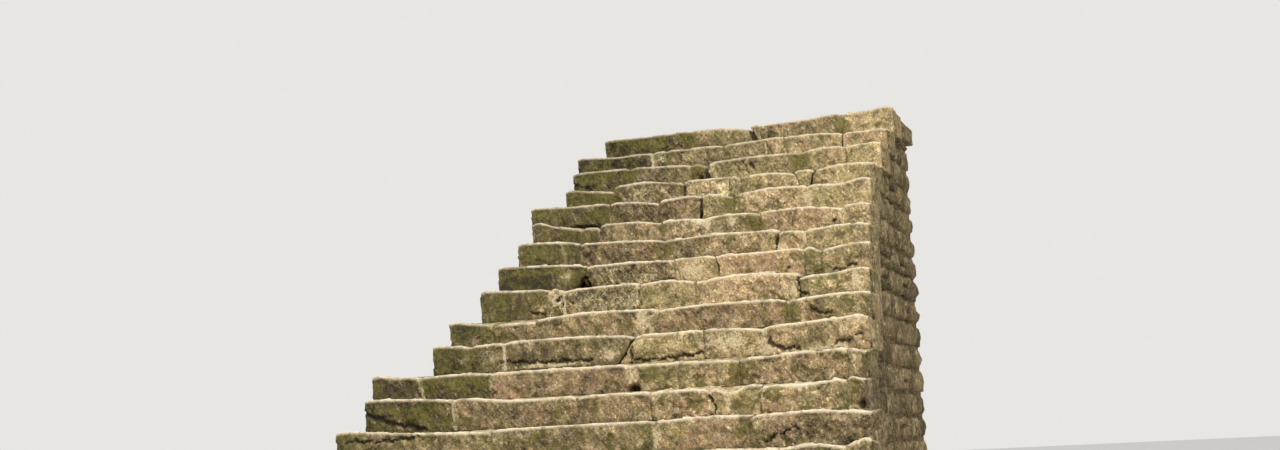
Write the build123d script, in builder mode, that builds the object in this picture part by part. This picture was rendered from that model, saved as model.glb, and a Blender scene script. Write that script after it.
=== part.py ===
# A flight of outdoor stone steps: eighteen rows of hewn granite stones, each row
# lying on the rear strip of the row below, between two rubble side walls.
# Units are millimetres. +Z is up, +Y goes up the flight and +X is to the right of
# someone who climbs it. The origin is in the middle of the footprint, on the ground.

import os
from build123d import *

os.makedirs("parts", exist_ok=True)

# Driving sizes of the flight
RISE = 170              # height of one step
TREAD = 300             # going of one step, nosing to nosing
STONE_DEPTH = 380       # front to back of a step stone, so that each carries the next
JOINT = 8               # open joint between neighbours in a row
STRIP_LEAD = 25         # the level strip starts this far in front of the next row
BACK_WALL = 320         # thickness of the wall behind the landing
SIDE_WALL = 350         # thickness of the walls under the ends of the rows
LANDING_DEPTH = 620     # paving behind the top row
LANDING_THICK = 120
LANDING_SLABS = 3
LANDING_PAST_WALL = 15  # how far the paving's ends stand past the side walls
SLAB_WEAR = 10          # chamfer of the paving's upper edges

# How hand dressing and wear shape a stone
EDGE_WEAR = 20          # the tread's front edge is worn round over this distance
NOSE_PLACE = 0.3        # the middle of the worn edge keeps this share of it from the corner
HOLLOW = 5              # the tread is trodden hollow by this much
HOLLOW_PLACE = 0.55     # and deepest at this part of its going
END_WEAR = 7            # how much lower and further back the ends of a stone are
END_REACH = 45          # length of a stone's worn end
SHORT_STONE = 260       # a shorter stone has no middle station
FACE_LEAN = 7           # the foot of a face lies this far behind its upper part
FACE_STAGGER = 3        # one stage of the unevenness between neighbouring faces
FACE_STAGES = 5


class Row:
    """One step: how far its ends stand past the walls, and its stones from left to right.

    A stone is its length and the height of its worn edge over the level step
    near its left end, in its middle and near its right end.
    """

    def __init__(self, past_left, past_right, *stones):
        self.past_left = past_left
        self.past_right = past_right
        self.stones = stones


# The rows from the ground up
ROWS = [
    Row(70, 47, (700, 5, 0, -5), (560, -5, 5, 0), (910, 0, -10, 5), (450, 5, 10, -5), (480, 0, 5, 10)),
    Row(60, 45, (520, 10, 5, 0), (830, -5, -10, 0), (390, 5, 0, -10), (760, -5, 5, 5), (560, 0, -5, 0)),
    Row(60, 37, (860, 15, 5, 5), (470, 0, 5, -5), (600, -10, -5, -5), (680, 5, 0, 10), (430, 5, 5, -5)),
    Row(40, 24, (540, 20, 10, 5), (650, 15, 20, 10), (690, 15, 10, 0), (650, 0, 10, 0), (330, 0, 15, 0),
        (115, 12, 25, 30)),
    Row(29, 32, (910, 25, 0, -15), (915, -5, 0, 0), (515, 0, 5, 5), (610, 0, 10, -5)),
    Row(8, 10, (550, 30, 20, 10), (725, 10, -15, -15), (415, -15, -10, -15), (340, -15, -10, -15),
        (85, -15, -15, -30), (190, -35, -10, -5), (450, -15, -20, 0), (95, 10, 5, 0)),
    Row(107, 13, (310, 5, -5, -10), (425, -15, -10, -15), (850, -15, -15, -15), (620, -20, -20, -25),
        (595, -20, -10, 0), (100, -5, -10, -15)),
    Row(8, 29, (245, 5, 0, -5), (210, -5, 0, 0), (795, 5, 10, -5), (425, -5, -5, 0), (355, 0, -5, -15),
        (590, -5, 10, 25)),
    Row(81, 38, (290, -5, -20, -30), (285, -35, -35, -35), (750, -20, 0, -10), (785, -15, 0, -5),
        (495, -15, 5, 10)),
    Row(23, 31, (460, 30, 20, 15), (90, 15, 10, 5), (495, 0, 10, 10), (350, 5, 15, 0), (640, -5, 15, 0),
        (425, -25, -15, 5)),
    Row(33, 29, (595, 35, 25, 15), (590, 0, 5, 0), (285, 5, 0, 5), (545, 5, 5, 10), (110, 10, 0, -10),
        (295, -5, 10, 15)),
    Row(15, 20, (425, 45, 40, 25), (585, 15, 10, -5), (745, -10, 5, 0), (175, -15, 0, -20), (405, -15, 0, 0)),
    Row(33, 25, (355, 45, 10, -15), (130, -20, -25, -25), (440, 0, 0, -20), (305, -15, -15, -20),
        (365, -15, -5, -15), (545, -5, 0, -25), (170, -10, -5, -5)),
    Row(160, 24, (580, 20, 10, 10), (360, 10, 5, -15), (290, 0, 5, 10), (235, 10, 15, -15), (495, -5, 15, 10),
        (430, 10, 0, 30)),
    Row(11, 10, (365, -5, -20, -35), (515, 0, 10, -15), (340, -5, -5, -5), (65, -10, -15, -25),
        (380, -10, -5, -20), (145, -10, -10, -10), (400, -10, 10, 5)),
    Row(62, 20, (445, -5, 0, 0), (460, -5, -10, -20), (120, -20, -15, -35), (685, -15, 0, -5), (315, 0, 15, 10),
        (245, 10, 15, 20)),
    Row(125, 21, (585, -15, -30, -25), (110, -25, -20, -20), (440, -20, -20, -20), (440, -20, -10, 0),
        (430, 0, 0, -10), (320, -15, -15, -10)),
    Row(8, 29, (690, -15, -15, -5), (450, -5, -10, -30), (90, -15, -10, -15), (610, -15, -10, 10),
        (370, 10, 15, 30)),
]

# Worked out from the sizes
STEPS = len(ROWS)
LENGTH = (STEPS - 1) * TREAD + STONE_DEPTH + LANDING_DEPTH
FRONT = -LENGTH / 2
BACK = LENGTH / 2
TOP = STEPS * RISE
LANDING_BED = TOP - LANDING_THICK

# Outer faces of the side walls in plan: (distance from the foot, distance from the middle)
LEFT_FACE = [(0, 1480), (1950, 1450), (2200, 1285), (2700, 1210), (4200, 1165), (LENGTH, 1150)]
RIGHT_FACE = [(0, 1505), (1000, 1480), (1600, 1365), (3900, 1040), (4300, 1025), (LENGTH, 1010)]
REACH = max(out for distance, out in LEFT_FACE + RIGHT_FACE)


def out_from_middle(face, distance):
    """How far a wall's outer face lies from the middle, this far from the foot."""
    for (near, near_out), (far, far_out) in zip(face, face[1:]):
        if distance <= far:
            return near_out + (far_out - near_out) * (distance - near) / (far - near)
    return face[-1][1]


def row_front(number):
    return FRONT + (number - 1) * TREAD


def stone_section(x, front, base, edge_height, set_back):
    """One station of a stone: its outline in the plane across the step."""
    top = base + RISE + edge_height
    face = front + set_back
    outline = [
        (face + FACE_LEAN, base),
        (face, top - EDGE_WEAR),
        (face + EDGE_WEAR * NOSE_PLACE, top - EDGE_WEAR * NOSE_PLACE),
        (face + EDGE_WEAR, top),
        (front + TREAD * HOLLOW_PLACE, base + RISE + edge_height * (1 - HOLLOW_PLACE) - HOLLOW),
        (front + TREAD - STRIP_LEAD, base + RISE),
        (front + STONE_DEPTH, base + RISE),
        (front + STONE_DEPTH, base),
    ]
    with BuildLine(Plane.YZ.offset(x)) as section:
        Polyline(*outline, close=True)
    return Face(section.wire())


def add_stone(start, end, number, place_in_row, heights):
    """Loft one stone between its worn ends, in the part that is being built."""
    front = row_front(number)
    base = (number - 1) * RISE
    set_back = FACE_STAGGER * ((3 * number + 2 * place_in_row) % FACE_STAGES)
    reach = min(END_REACH, (end - start) / 4)
    left, middle, right = heights
    stations = [
        (start, left - END_WEAR, set_back + END_WEAR),
        (start + reach, left, set_back),
        ((start + end) / 2, middle, set_back),
        (end - reach, right, set_back),
        (end, right - END_WEAR, set_back + END_WEAR),
    ]
    if end - start < SHORT_STONE:
        del stations[2]
    loft([stone_section(x, front, base, height, back) for x, height, back in stations], ruled=True)


def row_ends(row, number):
    """The row's ends, measured from the side walls where they come in under the row."""
    distance = (number - 1) * TREAD + STONE_DEPTH - TREAD
    left = -out_from_middle(LEFT_FACE, distance) - row.past_left
    right = out_from_middle(RIGHT_FACE, distance) + row.past_right
    return left, right


# The steps: each row of stones is one node, with open joints between its stones
for number, row in enumerate(ROWS, start=1):
    left_end, right_end = row_ends(row, number)
    stretch = (right_end - left_end) / sum(stone[0] for stone in row.stones)
    with BuildPart() as step:
        start = left_end
        for place_in_row, (length, *heights) in enumerate(row.stones):
            end = start + length * stretch
            gap_before = JOINT / 2 if start > left_end else 0
            gap_after = JOINT / 2 if place_in_row < len(row.stones) - 1 else 0
            add_stone(start + gap_before, end - gap_after, number, place_in_row, heights)
            start = end
    step.part.label = f"step_{number:02d}"
    export_step(step.part, f"parts/step_{number:02d}.step")


def plan_line(face, side, inset, near=STONE_DEPTH, far=LENGTH):
    """A side wall's face in plan, moved inwards, between two distances from the foot."""
    bends = [distance for distance, out in face if near < distance < far]
    return [(side * (out_from_middle(face, distance) - inset), FRONT + distance)
            for distance in [near, *bends, far]]


def stepped_profile():
    """What lies under and behind the rows, seen from the side: up to the landing's slabs."""
    head = row_front(STEPS) + STONE_DEPTH
    points = [(FRONT + STONE_DEPTH, 0)]
    for number in range(1, STEPS):
        y = row_front(number) + STONE_DEPTH
        points += [(y, number * RISE), (y + TREAD, number * RISE)]
    points += [(head, LANDING_BED), (BACK, LANDING_BED), (BACK, 0)]
    with BuildSketch(Plane.YZ.offset(-REACH)) as profile:
        with BuildLine():
            Polyline(*points, close=True)
        make_face()
    return profile.sketch


def plan_outline(left_line, right_line):
    with BuildSketch() as outline:
        with BuildLine():
            Polyline(*left_line, *reversed(right_line), close=True)
        make_face()
    return outline.sketch


# Left side wall, under the left ends of the rows
with BuildPart() as left_side_wall:
    extrude(plan_outline(plan_line(LEFT_FACE, -1, 0), plan_line(LEFT_FACE, -1, SIDE_WALL)), TOP)
    extrude(stepped_profile(), 2 * REACH, mode=Mode.INTERSECT)
left_side_wall.part.label = "left_side_wall"
export_step(left_side_wall.part, "parts/left_side_wall.step")

# Right side wall
with BuildPart() as right_side_wall:
    extrude(plan_outline(plan_line(RIGHT_FACE, 1, SIDE_WALL), plan_line(RIGHT_FACE, 1, 0)), TOP)
    extrude(stepped_profile(), 2 * REACH, mode=Mode.INTERSECT)
right_side_wall.part.label = "right_side_wall"
export_step(right_side_wall.part, "parts/right_side_wall.step")

# Rubble and earth between the side walls, which carries the middle of the rows
core_outline = plan_outline(
    plan_line(LEFT_FACE, -1, SIDE_WALL, far=LENGTH - BACK_WALL),
    plan_line(RIGHT_FACE, 1, SIDE_WALL, far=LENGTH - BACK_WALL),
)
with BuildPart() as core_fill:
    extrude(core_outline, TOP)
    extrude(stepped_profile(), 2 * REACH, mode=Mode.INTERSECT)
core_fill.part.label = "core_fill"
export_step(core_fill.part, "parts/core_fill.step")

# Back wall between the side walls, under the rear edge of the landing
back_outline = plan_outline(
    plan_line(LEFT_FACE, -1, SIDE_WALL, near=LENGTH - BACK_WALL),
    plan_line(RIGHT_FACE, 1, SIDE_WALL, near=LENGTH - BACK_WALL),
)
with BuildPart() as back_wall:
    extrude(back_outline, LANDING_BED)
back_wall.part.label = "back_wall"
export_step(back_wall.part, "parts/back_wall.step")

# Paving of the landing behind the top row, with its worn upper edges
paving_left, paving_right = row_ends(Row(LANDING_PAST_WALL, LANDING_PAST_WALL), STEPS)
slab_length = (paving_right - paving_left - (LANDING_SLABS - 1) * JOINT) / LANDING_SLABS
slab_depth = LANDING_DEPTH - JOINT
with BuildPart() as landing:
    with Locations(((paving_left + paving_right) / 2, BACK - slab_depth / 2, LANDING_BED)):
        with GridLocations(slab_length + JOINT, slab_depth, LANDING_SLABS, 1):
            Box(slab_length, slab_depth, LANDING_THICK, align=(Align.CENTER, Align.CENTER, Align.MIN))
    chamfer(landing.faces().group_by(Axis.Z)[-1].edges(), SLAB_WEAR)
landing.part.label = "landing"
export_step(landing.part, "parts/landing.step")
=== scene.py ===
"""Dresses a flight of outdoor stone steps: hewn granite rows, filled joints and rubble walls.

Each stone of a row is built again as a fine mesh from the corners of its solid in the frame.
What its surface carries, such as moss or mortar, lies in point attributes, which the relief
tree and the granite material read.
"""

import math
import random
from collections import namedtuple

import bmesh
import bpy
import numpy as np
from bpy.props import FloatProperty, FloatVectorProperty, IntProperty, PointerProperty
from mathutils import Matrix, Vector


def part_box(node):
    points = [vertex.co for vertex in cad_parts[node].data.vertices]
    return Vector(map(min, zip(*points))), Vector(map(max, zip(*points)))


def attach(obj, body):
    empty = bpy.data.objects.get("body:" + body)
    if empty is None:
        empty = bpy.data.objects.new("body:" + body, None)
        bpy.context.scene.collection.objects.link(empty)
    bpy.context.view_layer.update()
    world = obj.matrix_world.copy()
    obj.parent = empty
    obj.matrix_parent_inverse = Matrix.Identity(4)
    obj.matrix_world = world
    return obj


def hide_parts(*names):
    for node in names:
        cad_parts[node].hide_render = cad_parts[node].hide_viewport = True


bl_info = {
    "name": "Stone flight",
    "version": (1, 0, 0),
    "blender": (4, 5, 0),
    "location": "3D View > Sidebar > Stone flight",
    "description": "Dresses a flight of hewn granite steps with its joints and rubble walls",
    "category": "Object",
}

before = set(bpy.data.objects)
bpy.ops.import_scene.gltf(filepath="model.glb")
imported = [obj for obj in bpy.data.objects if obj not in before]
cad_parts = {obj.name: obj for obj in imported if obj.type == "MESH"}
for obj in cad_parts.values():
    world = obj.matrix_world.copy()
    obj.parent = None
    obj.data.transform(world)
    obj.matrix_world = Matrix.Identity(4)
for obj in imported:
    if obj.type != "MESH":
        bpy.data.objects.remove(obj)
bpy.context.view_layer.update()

MM = 0.001
RISE = 170 * MM  # height of one step
BODY = "root"
ROW_NAMES = sorted(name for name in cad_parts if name.startswith("step_"))

# What a point of a stone's surface carries: 0 is none and about 1 is all that it can take. Tone
# and warmth go from -1 to 1, dark to light and grey to reddish. Relief and show scale the
# relief's height, and stone is the stone's own number, which moves the patterns on it.
# The grime marking is real grime and also painted shade: in cracks and holes, at the feet of the risers
# and on the left side.
# The wear marking is real wear, and on the nosings also a painted highlight.
MARKINGS = ("tone", "warmth", "moss", "mortar", "grime", "lichen", "wear", "relief", "show", "stone")

# Finishes of a whole stone
Finish = namedtuple("Finish", "tone warmth moss grime lichen relief")
FINISHES = {
    "clean": Finish(0.0, 0.1, 0.06, 0.10, 0.35, 1.0),
    "pale": Finish(0.25, -0.1, 0.05, 0.05, 0.35, 0.8),
    "brown": Finish(-0.05, 0.6, 0.06, 0.12, 0.25, 1.0),
    "dark": Finish(-0.30, 0.1, 0.12, 0.28, 0.20, 0.9),
    "rough": Finish(0.0, 0.4, 0.08, 0.15, 0.60, 1.7),
    "speckled": Finish(0.05, 0.2, 0.06, 0.12, 0.85, 1.2),
    "green": Finish(-0.05, -0.3, 0.22, 0.15, 0.25, 0.7),
    "mossy": Finish(-0.12, 0.0, 0.22, 0.20, 0.30, 1.0),
    "shaded": Finish(-0.22, 0.0, 0.26, 0.38, 0.15, 1.1),
}

# The stones of each row from left to right, and what fills the joints between them. Each plus
# after a word makes that stone a step lighter than its finish, and each minus a step darker.
TONE_STEP = 0.15
ROW_FINISHES = {
    1: "mossy clean brown clean pale",
    2: "mossy brown clean rough clean",
    3: "mossy clean rough clean pale",
    4: "shaded mossy clean mossy brown mossy",
    5: "mossy+++ green- brown+++ rough-",
    6: "mossy--- brown brown+ rough++ brown++++ green+++++ rough++ clean--",
    7: "dark-- mossy--- brown mossy++ rough mossy",
    8: "mossy-- clean-- dark+ clean+++ pale clean++",
    9: "mossy++ brown++ clean brown clean",
    10: "shaded++ clean-- speckled- clean+++ rough++ green++",
    11: "shaded-- speckled--- pale++ brown++ mossy clean",
    12: "shaded brown- rough- clean+ clean+",
    13: "mossy- mossy- clean speckled clean- brown clean",
    14: "shaded- clean--- clean-- mossy++ rough++ pale",
    15: "mossy- rough-- speckled+ green clean++ green+++ clean+",
    16: "mossy--- clean-- mossy-- clean- clean+ pale+",
    17: "dark--- clean--- clean- clean clean+ brown++",
    18: "mossy--- clean clean clean-- pale+",
}
ROW_JOINTS = {
    1: "earth mortar earth mortar",
    2: "earth tight mortar earth",
    3: "mortar earth tight mortar",
    4: "tight mortar tight tight earth",
    5: "tight mortar tight",
    6: "mortar tight tight mortar mortar tight moss",
    7: "mortar tight mortar moss tight",
    8: "moss mortar open tight mortar",
    9: "moss tight mortar moss",
    10: "mortar mortar tight tight open",
    11: "open tight open earth moss",
    12: "earth moss open mortar",
    13: "moss earth tight mortar moss mortar",
    14: "moss earth open moss mortar",
    15: "moss open tight earth earth open",
    16: "moss earth open moss earth",
    17: "mortar tight earth tight open",
    18: "moss open tight moss",
}

# Marks on the risers of a row. Across is millimetres to the right of the flight's middle,
# up is millimetres above the tread below.
Stain = namedtuple("Stain", "kind across up half_width half_height amount")
Dent = namedtuple("Dent", "across up half_width half_height depth")
Crack = namedtuple("Crack", "width points")
MARKS = {
    4: (
        Stain("moss", 1150, 120, 160, 50, 0.5), Stain("grime", 700, 60, 300, 60, 0.4),
        Stain("moss", -1250, 110, 160, 70, 0.6), Stain("mortar", -760, 90, 16, 80, 0.8),
    ),
    5: (
        Stain("grime", -1465, 80, 60, 90, 0.9), Stain("tone", -1350, 90, 50, 60, 0.6),
        Stain("moss", -215, 100, 300, 60, 0.5), Stain("warmth", 560, 90, 200, 80, 0.8),
        Stain("moss", 820, 100, 90, 90, 0.8), Stain("mortar", 330, 110, 60, 60, 0.3),
        Crack(9, [(-1429, 140), (-1200, 132), (-984, 148)]), Stain("tone", 330, 150, 70, 30, 0.5),
        Crack(8, [(900, 30), (960, 60), (1080, 100)]), Stain("warmth", 1020, 110, 110, 50, 0.8),
    ),
    6: (
        Stain("moss", -1180, 110, 220, 60, 0.7), Stain("tone", -1085, 45, 80, 35, 0.9),
        Stain("moss", -275, 90, 90, 70, 0.7), Stain("mortar", -330, 140, 40, 30, 1.0),
        Stain("warmth", 330, 90, 90, 60, 0.8), Stain("moss", 470, 80, 70, 60, 0.7),
        Stain("mortar", 640, 90, 12, 80, 0.5), Stain("mortar", 836, 100, 12, 70, 0.6),
        Stain("moss", 890, 100, 60, 60, 0.7), Stain("mortar", 1280, 110, 34, 80, 1.1),
        Stain("moss", 1330, 130, 34, 50, 1.2), Stain("mortar", -900, 90, 16, 60, 0.8),
        Crack(20, [(-1455, 119), (-1290, 62), (-1091, 17)]),
        Crack(9, [(545, 120), (583, 60), (560, 20)]), Dent(1360, 31, 16, 26, 45),
    ),
    7: (
        Stain("tone", -1400, 150, 160, 20, 0.8), Stain("moss", -1040, 110, 220, 60, 0.9),
        Stain("mortar", 36, 100, 48, 70, 1.1), Dent(35, 6, 36, 40, 70),
        Stain("moss", 612, 80, 38, 80, 1.1), Stain("grime", 612, 45, 26, 40, 0.8),
        Stain("moss", 1330, 100, 24, 70, 0.9), Stain("mortar", 1276, 100, 26, 60, 0.8),
        Stain("moss", 200, 90, 140, 70, 0.4), Stain("mortar", -815, 90, 14, 70, 0.7),
    ),
    8: (
        Stain("moss", -1240, 110, 90, 80, 0.8), Stain("grime", -1190, 70, 40, 90, 0.7),
        Stain("mortar", -1110, 70, 50, 50, 0.7), Stain("grime", -650, 90, 190, 50, 0.35),
        Stain("mortar", -590, 22, 300, 16, 1.1), Crack(11, [(-872, 60), (-600, 42), (-315, 38)]),
        Stain("mortar", -205, 62, 70, 50, 1.1), Crack(10, [(-63, 100), (-68, 50), (-66, 0)]),
        Crack(10, [(-61, 20), (106, 18), (232, 27), (356, 37)]), Stain("tone", 100, 110, 200, 60, 0.3),
        Stain("mortar", 520, 90, 175, 85, 0.9), Stain("moss", 640, 80, 60, 60, 0.5),
        Stain("mortar", 730, 32, 62, 24, 1.1),
        Crack(14, [(743, 116), (750, 74), (779, 46), (842, 36), (915, 30)]),
        Crack(11, [(1110, 46), (1193, 60), (1270, 94)]), Stain("mortar", 1010, 20, 120, 20, 1.1),
        Stain("mortar", 1165, 28, 60, 24, 1.0), Stain("warmth", 930, 100, 130, 50, 0.5),
    ),
    9: (
        Stain("grime", -1225, 110, 110, 80, 1.0), Stain("moss", -1150, 120, 90, 60, 0.6),
        Stain("mortar", -85, 110, 58, 85, 1.0), Stain("moss", -170, 100, 60, 80, 0.5),
        Stain("moss", 815, 100, 70, 70, 1.0), Stain("moss", 960, 40, 110, 24, 0.9),
        Crack(13, [(925, 110), (950, 84), (975, 72), (1050, 66)]), Stain("grime", 950, 84, 34, 24, 1.0),
        Stain("warmth", -500, 100, 260, 70, 0.5),
    ),
    10: (
        Stain("grime", -1045, 90, 30, 100, 1.0), Stain("grime", -975, 90, 34, 70, 0.9),
        Stain("moss", -1090, 90, 70, 90, 0.9), Stain("tone", -882, 52, 70, 40, 0.9),
        Stain("moss", -850, 115, 80, 60, 0.7), Crack(9, [(-905, 45), (-860, 40), (-800, 22)]),
        Stain("mortar", -725, 120, 60, 75, 1.0), Crack(6, [(-688, 145), (-740, 90), (-775, 50)]),
        Crack(6, [(-688, 145), (-690, 60)]), Crack(6, [(-688, 121), (-620, 80)]),
        Stain("lichen", -500, 100, 70, 50, 0.8), Stain("lichen", -265, 85, 110, 70, 0.9),
        Stain("mortar", 778, 80, 34, 70, 1.1), Stain("mortar", 1150, 110, 40, 80, 1.3),
        Crack(12, [(797, 150), (795, 60), (860, 40)]),
    ),
    11: (
        Stain("grime", -1020, 85, 200, 75, 0.9), Stain("moss", -1010, 150, 220, 26, 1.0),
        Stain("grime", -1180, 70, 24, 90, 1.1), Stain("grime", -884, 60, 16, 90, 1.2),
        Stain("lichen", -765, 110, 60, 50, 1.2), Stain("tone", -765, 110, 60, 50, 0.7),
        Stain("moss", -700, 100, 70, 80, 0.8), Stain("mortar", 80, 90, 130, 80, 0.9),
        Stain("moss", 80, 165, 140, 12, 0.9), Dent(678, 64, 14, 12, 16),
        Stain("moss", 815, 100, 50, 80, 0.7), Crack(9, [(960, 30), (1030, 38), (1100, 62)]),
    ),
    12: (
        Stain("moss", -1010, 130, 200, 50, 0.9), Stain("tone", -840, 90, 50, 50, 1.0),
        Stain("moss", -155, 110, 48, 70, 1.0), Stain("mortar", 567, 52, 62, 40, 1.3),
        Stain("grime", -800, 70, 14, 70, 0.7),
    ),
    13: (
        Stain("mortar", -25, 140, 80, 52, 1.8), Stain("mortar", 190, 110, 32, 36, 1.4),
        Stain("wear", -20, 146, 70, 44, 0.9),
        Stain("moss", 325, 100, 62, 80, 1.0), Stain("grime", 588, 80, 14, 50, 0.8),
        Dent(863, 63, 14, 12, 18), Stain("lichen", 870, 110, 60, 60, 0.8),
        Stain("mortar", 910, 110, 24, 60, 0.9), Stain("moss", -290, 100, 50, 70, 0.7),
    ),
    14: (
        Dent(-1200, 22, 110, 24, 42), Dent(-955, 20, 120, 22, 40),
        Stain("moss", 100, 110, 70, 80, 0.9), Stain("mortar", 641, 80, 30, 70, 1.1),
        Stain("moss", -880, 110, 60, 60, 0.6), Stain("moss", -1250, 140, 160, 40, 0.7),
    ),
    15: (
        Stain("moss", -1000, 90, 190, 90, 0.9), Stain("lichen", -600, 80, 220, 80, 0.7),
        Stain("moss", -310, 70, 25, 60, 0.7), Dent(634, 150, 12, 16, 30),
        Stain("lichen", 30, 90, 130, 70, 0.9), Stain("moss", 210, 80, 50, 60, 0.5),
    ),
    16: (
        Stain("moss", 440, 100, 90, 85, 1.1), Stain("moss", -1060, 120, 180, 60, 0.9),
        Crack(14, [(-1280, 112), (-1223, 86), (-1166, 70), (-1120, 52), (-1076, 18)]),
        Dent(-253, 40, 18, 30, 40), Crack(8, [(60, 130), (95, 60)]), Crack(8, [(110, 130), (140, 70)]),
        Stain("moss", -290, 120, 60, 60, 0.9), Stain("moss", -780, 110, 40, 80, 0.7),
    ),
    17: (
        Stain("mortar", 160, 90, 11, 70, 0.9), Stain("mortar", 243, 100, 13, 60, 0.9),
        Stain("lichen", -90, 90, 65, 60, 0.7), Stain("warmth", 450, 90, 100, 60, 0.5),
        Stain("mortar", -643, 100, 56, 80, 0.5), Stain("moss", -570, 90, 40, 70, 0.6),
        Stain("mortar", 733, 50, 12, 50, 1.0), Stain("moss", -140, 100, 50, 70, 0.6),
    ),
    18: (
        Stain("moss", -820, 110, 340, 70, 0.7), Stain("moss", -500, 120, 60, 60, 0.9),
        Stain("grime", 135, 70, 60, 60, 0.9), Stain("warmth", 280, 100, 60, 40, 0.7),
        Stain("moss", 640, 110, 40, 60, 1.0), Stain("grime", 350, 110, 90, 35, 0.5),
    ),
}

# Joints that aren't upright: row, joint counted from the left, and how far it lies to the
# right of its place at the top and at the foot of the riser, in millimetres
LEANS = {
    (18, 2): (-8, 42), (18, 3): (4, -6), (15, 5): (-7, 66), (15, 6): (7, -64),
    (14, 3): (8, -10), (16, 3): (12, -20), (9, 3): (20, -45), (8, 3): (28, -88),
    (7, 1): (-20, 22), (7, 3): (-18, 12), (11, 1): (14, -12), (11, 3): (-20, 12),
    (12, 3): (10, -14), (10, 5): (-6, 4), (6, 5): (-14, 20), (13, 4): (-24, 20),
    (17, 5): (6, -8), (12, 1): (12, -8),
}
# Joints that are wider than the others at the foot, as a hole between two stones:
# half width and height in millimetres
HOLES = {
    (18, 2): (22, 150), (16, 3): (20, 90), (14, 3): (8, 175), (11, 1): (58, 104), (7, 3): (24, 42),
    (8, 3): (3, 130),
}


class DressingSettings(bpy.types.PropertyGroup):
    """Sizes of the hewn stones' surface."""

    spacing: FloatProperty(
        name="Spacing", description="Distance between points on a riser",
        default=0.007, min=0.004, unit="LENGTH")
    arris: FloatProperty(
        name="Arris", description="Radius of the worn corners beside a joint",
        default=0.006, unit="LENGTH")
    swell: FloatProperty(
        name="Swell", description="Depth of the broad waves in a hewn face",
        default=0.006, unit="LENGTH")
    facet: FloatProperty(
        name="Facet", description="Slope of the split facets, as depth over width",
        default=0.10)
    rough: FloatProperty(
        name="Roughness depth", description="Depth of the small breaks in a face",
        default=0.0044, unit="LENGTH")
    pit: FloatProperty(
        name="Pit depth", description="Depth of the weathered pits",
        default=0.003, unit="LENGTH")
    seed: IntProperty(name="Seed", description="Start of the stones' random relief", default=7)


class WallingSettings(bpy.types.PropertyGroup):
    """Sizes of the rubble in the side and back walls."""

    shortest: FloatProperty(
        name="Shortest stone", description="Length of the shortest rubble stone",
        default=0.15, unit="LENGTH")
    longest: FloatProperty(
        name="Longest stone", description="Length of the longest rubble stone",
        default=0.42, unit="LENGTH")
    joint: FloatProperty(
        name="Joint", description="Width of the mortar joints between rubble stones",
        default=0.014, unit="LENGTH")
    bed_depth: FloatProperty(
        name="Mortar depth", description="How far the mortar lies behind the stones' faces",
        default=0.018, unit="LENGTH")
    stone_depth: FloatProperty(
        name="Stone depth", description="How far a rubble stone reaches into the wall",
        default=0.16, unit="LENGTH")
    seed: IntProperty(name="Seed", description="Start of the rubble's random lengths", default=11)


class ColourSettings(bpy.types.PropertyGroup):
    """Colours of stone, mortar and growth."""

    stone: FloatVectorProperty(
        name="Stone", description="Body of the granite", subtype="COLOR", size=3,
        default=(0.380, 0.275, 0.145))
    olive: FloatVectorProperty(
        name="Olive stone", description="Granite under a thin film of growth", subtype="COLOR",
        size=3, default=(0.290, 0.235, 0.105))
    pale: FloatVectorProperty(
        name="Pale stone", description="Feldspar and rubbed places", subtype="COLOR", size=3,
        default=(0.720, 0.570, 0.340))
    # The rubbed colour is worn stone, and on the nosings also a painted highlight
    rubbed_and_highlight: FloatVectorProperty(
        name="Rubbed stone", description="Worn edges and treads", subtype="COLOR", size=3,
        default=(0.880, 0.740, 0.520))
    dark: FloatVectorProperty(
        name="Dark stone", description="Dark grains and pits", subtype="COLOR", size=3,
        default=(0.110, 0.080, 0.040))
    red: FloatVectorProperty(
        name="Reddish stone", description="Iron tinted patches", subtype="COLOR", size=3,
        default=(0.330, 0.205, 0.120))
    mortar: FloatVectorProperty(
        name="Mortar", description="Lime mortar in the joints", subtype="COLOR", size=3,
        default=(0.820, 0.665, 0.400))
    moss: FloatVectorProperty(
        name="Moss", description="Fresh moss tint", subtype="COLOR", size=3,
        default=(0.240, 0.205, 0.044))
    old_moss: FloatVectorProperty(
        name="Old moss", description="Dark moss tint", subtype="COLOR", size=3,
        default=(0.085, 0.078, 0.024))
    # The grime colour also paints shade into cracks, holes, open joints, the feet of the risers and the
    # left side
    grime: FloatVectorProperty(
        name="Grime", description="Dark streaks and damp", subtype="COLOR", size=3,
        default=(0.050, 0.042, 0.024))
    lichen: FloatVectorProperty(
        name="Lichen", description="Crusts of lichen", subtype="COLOR", size=3,
        default=(0.720, 0.600, 0.340))
    earth: FloatVectorProperty(
        name="Earth", description="Earth in the joints", subtype="COLOR", size=3,
        default=(0.110, 0.080, 0.045))


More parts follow.
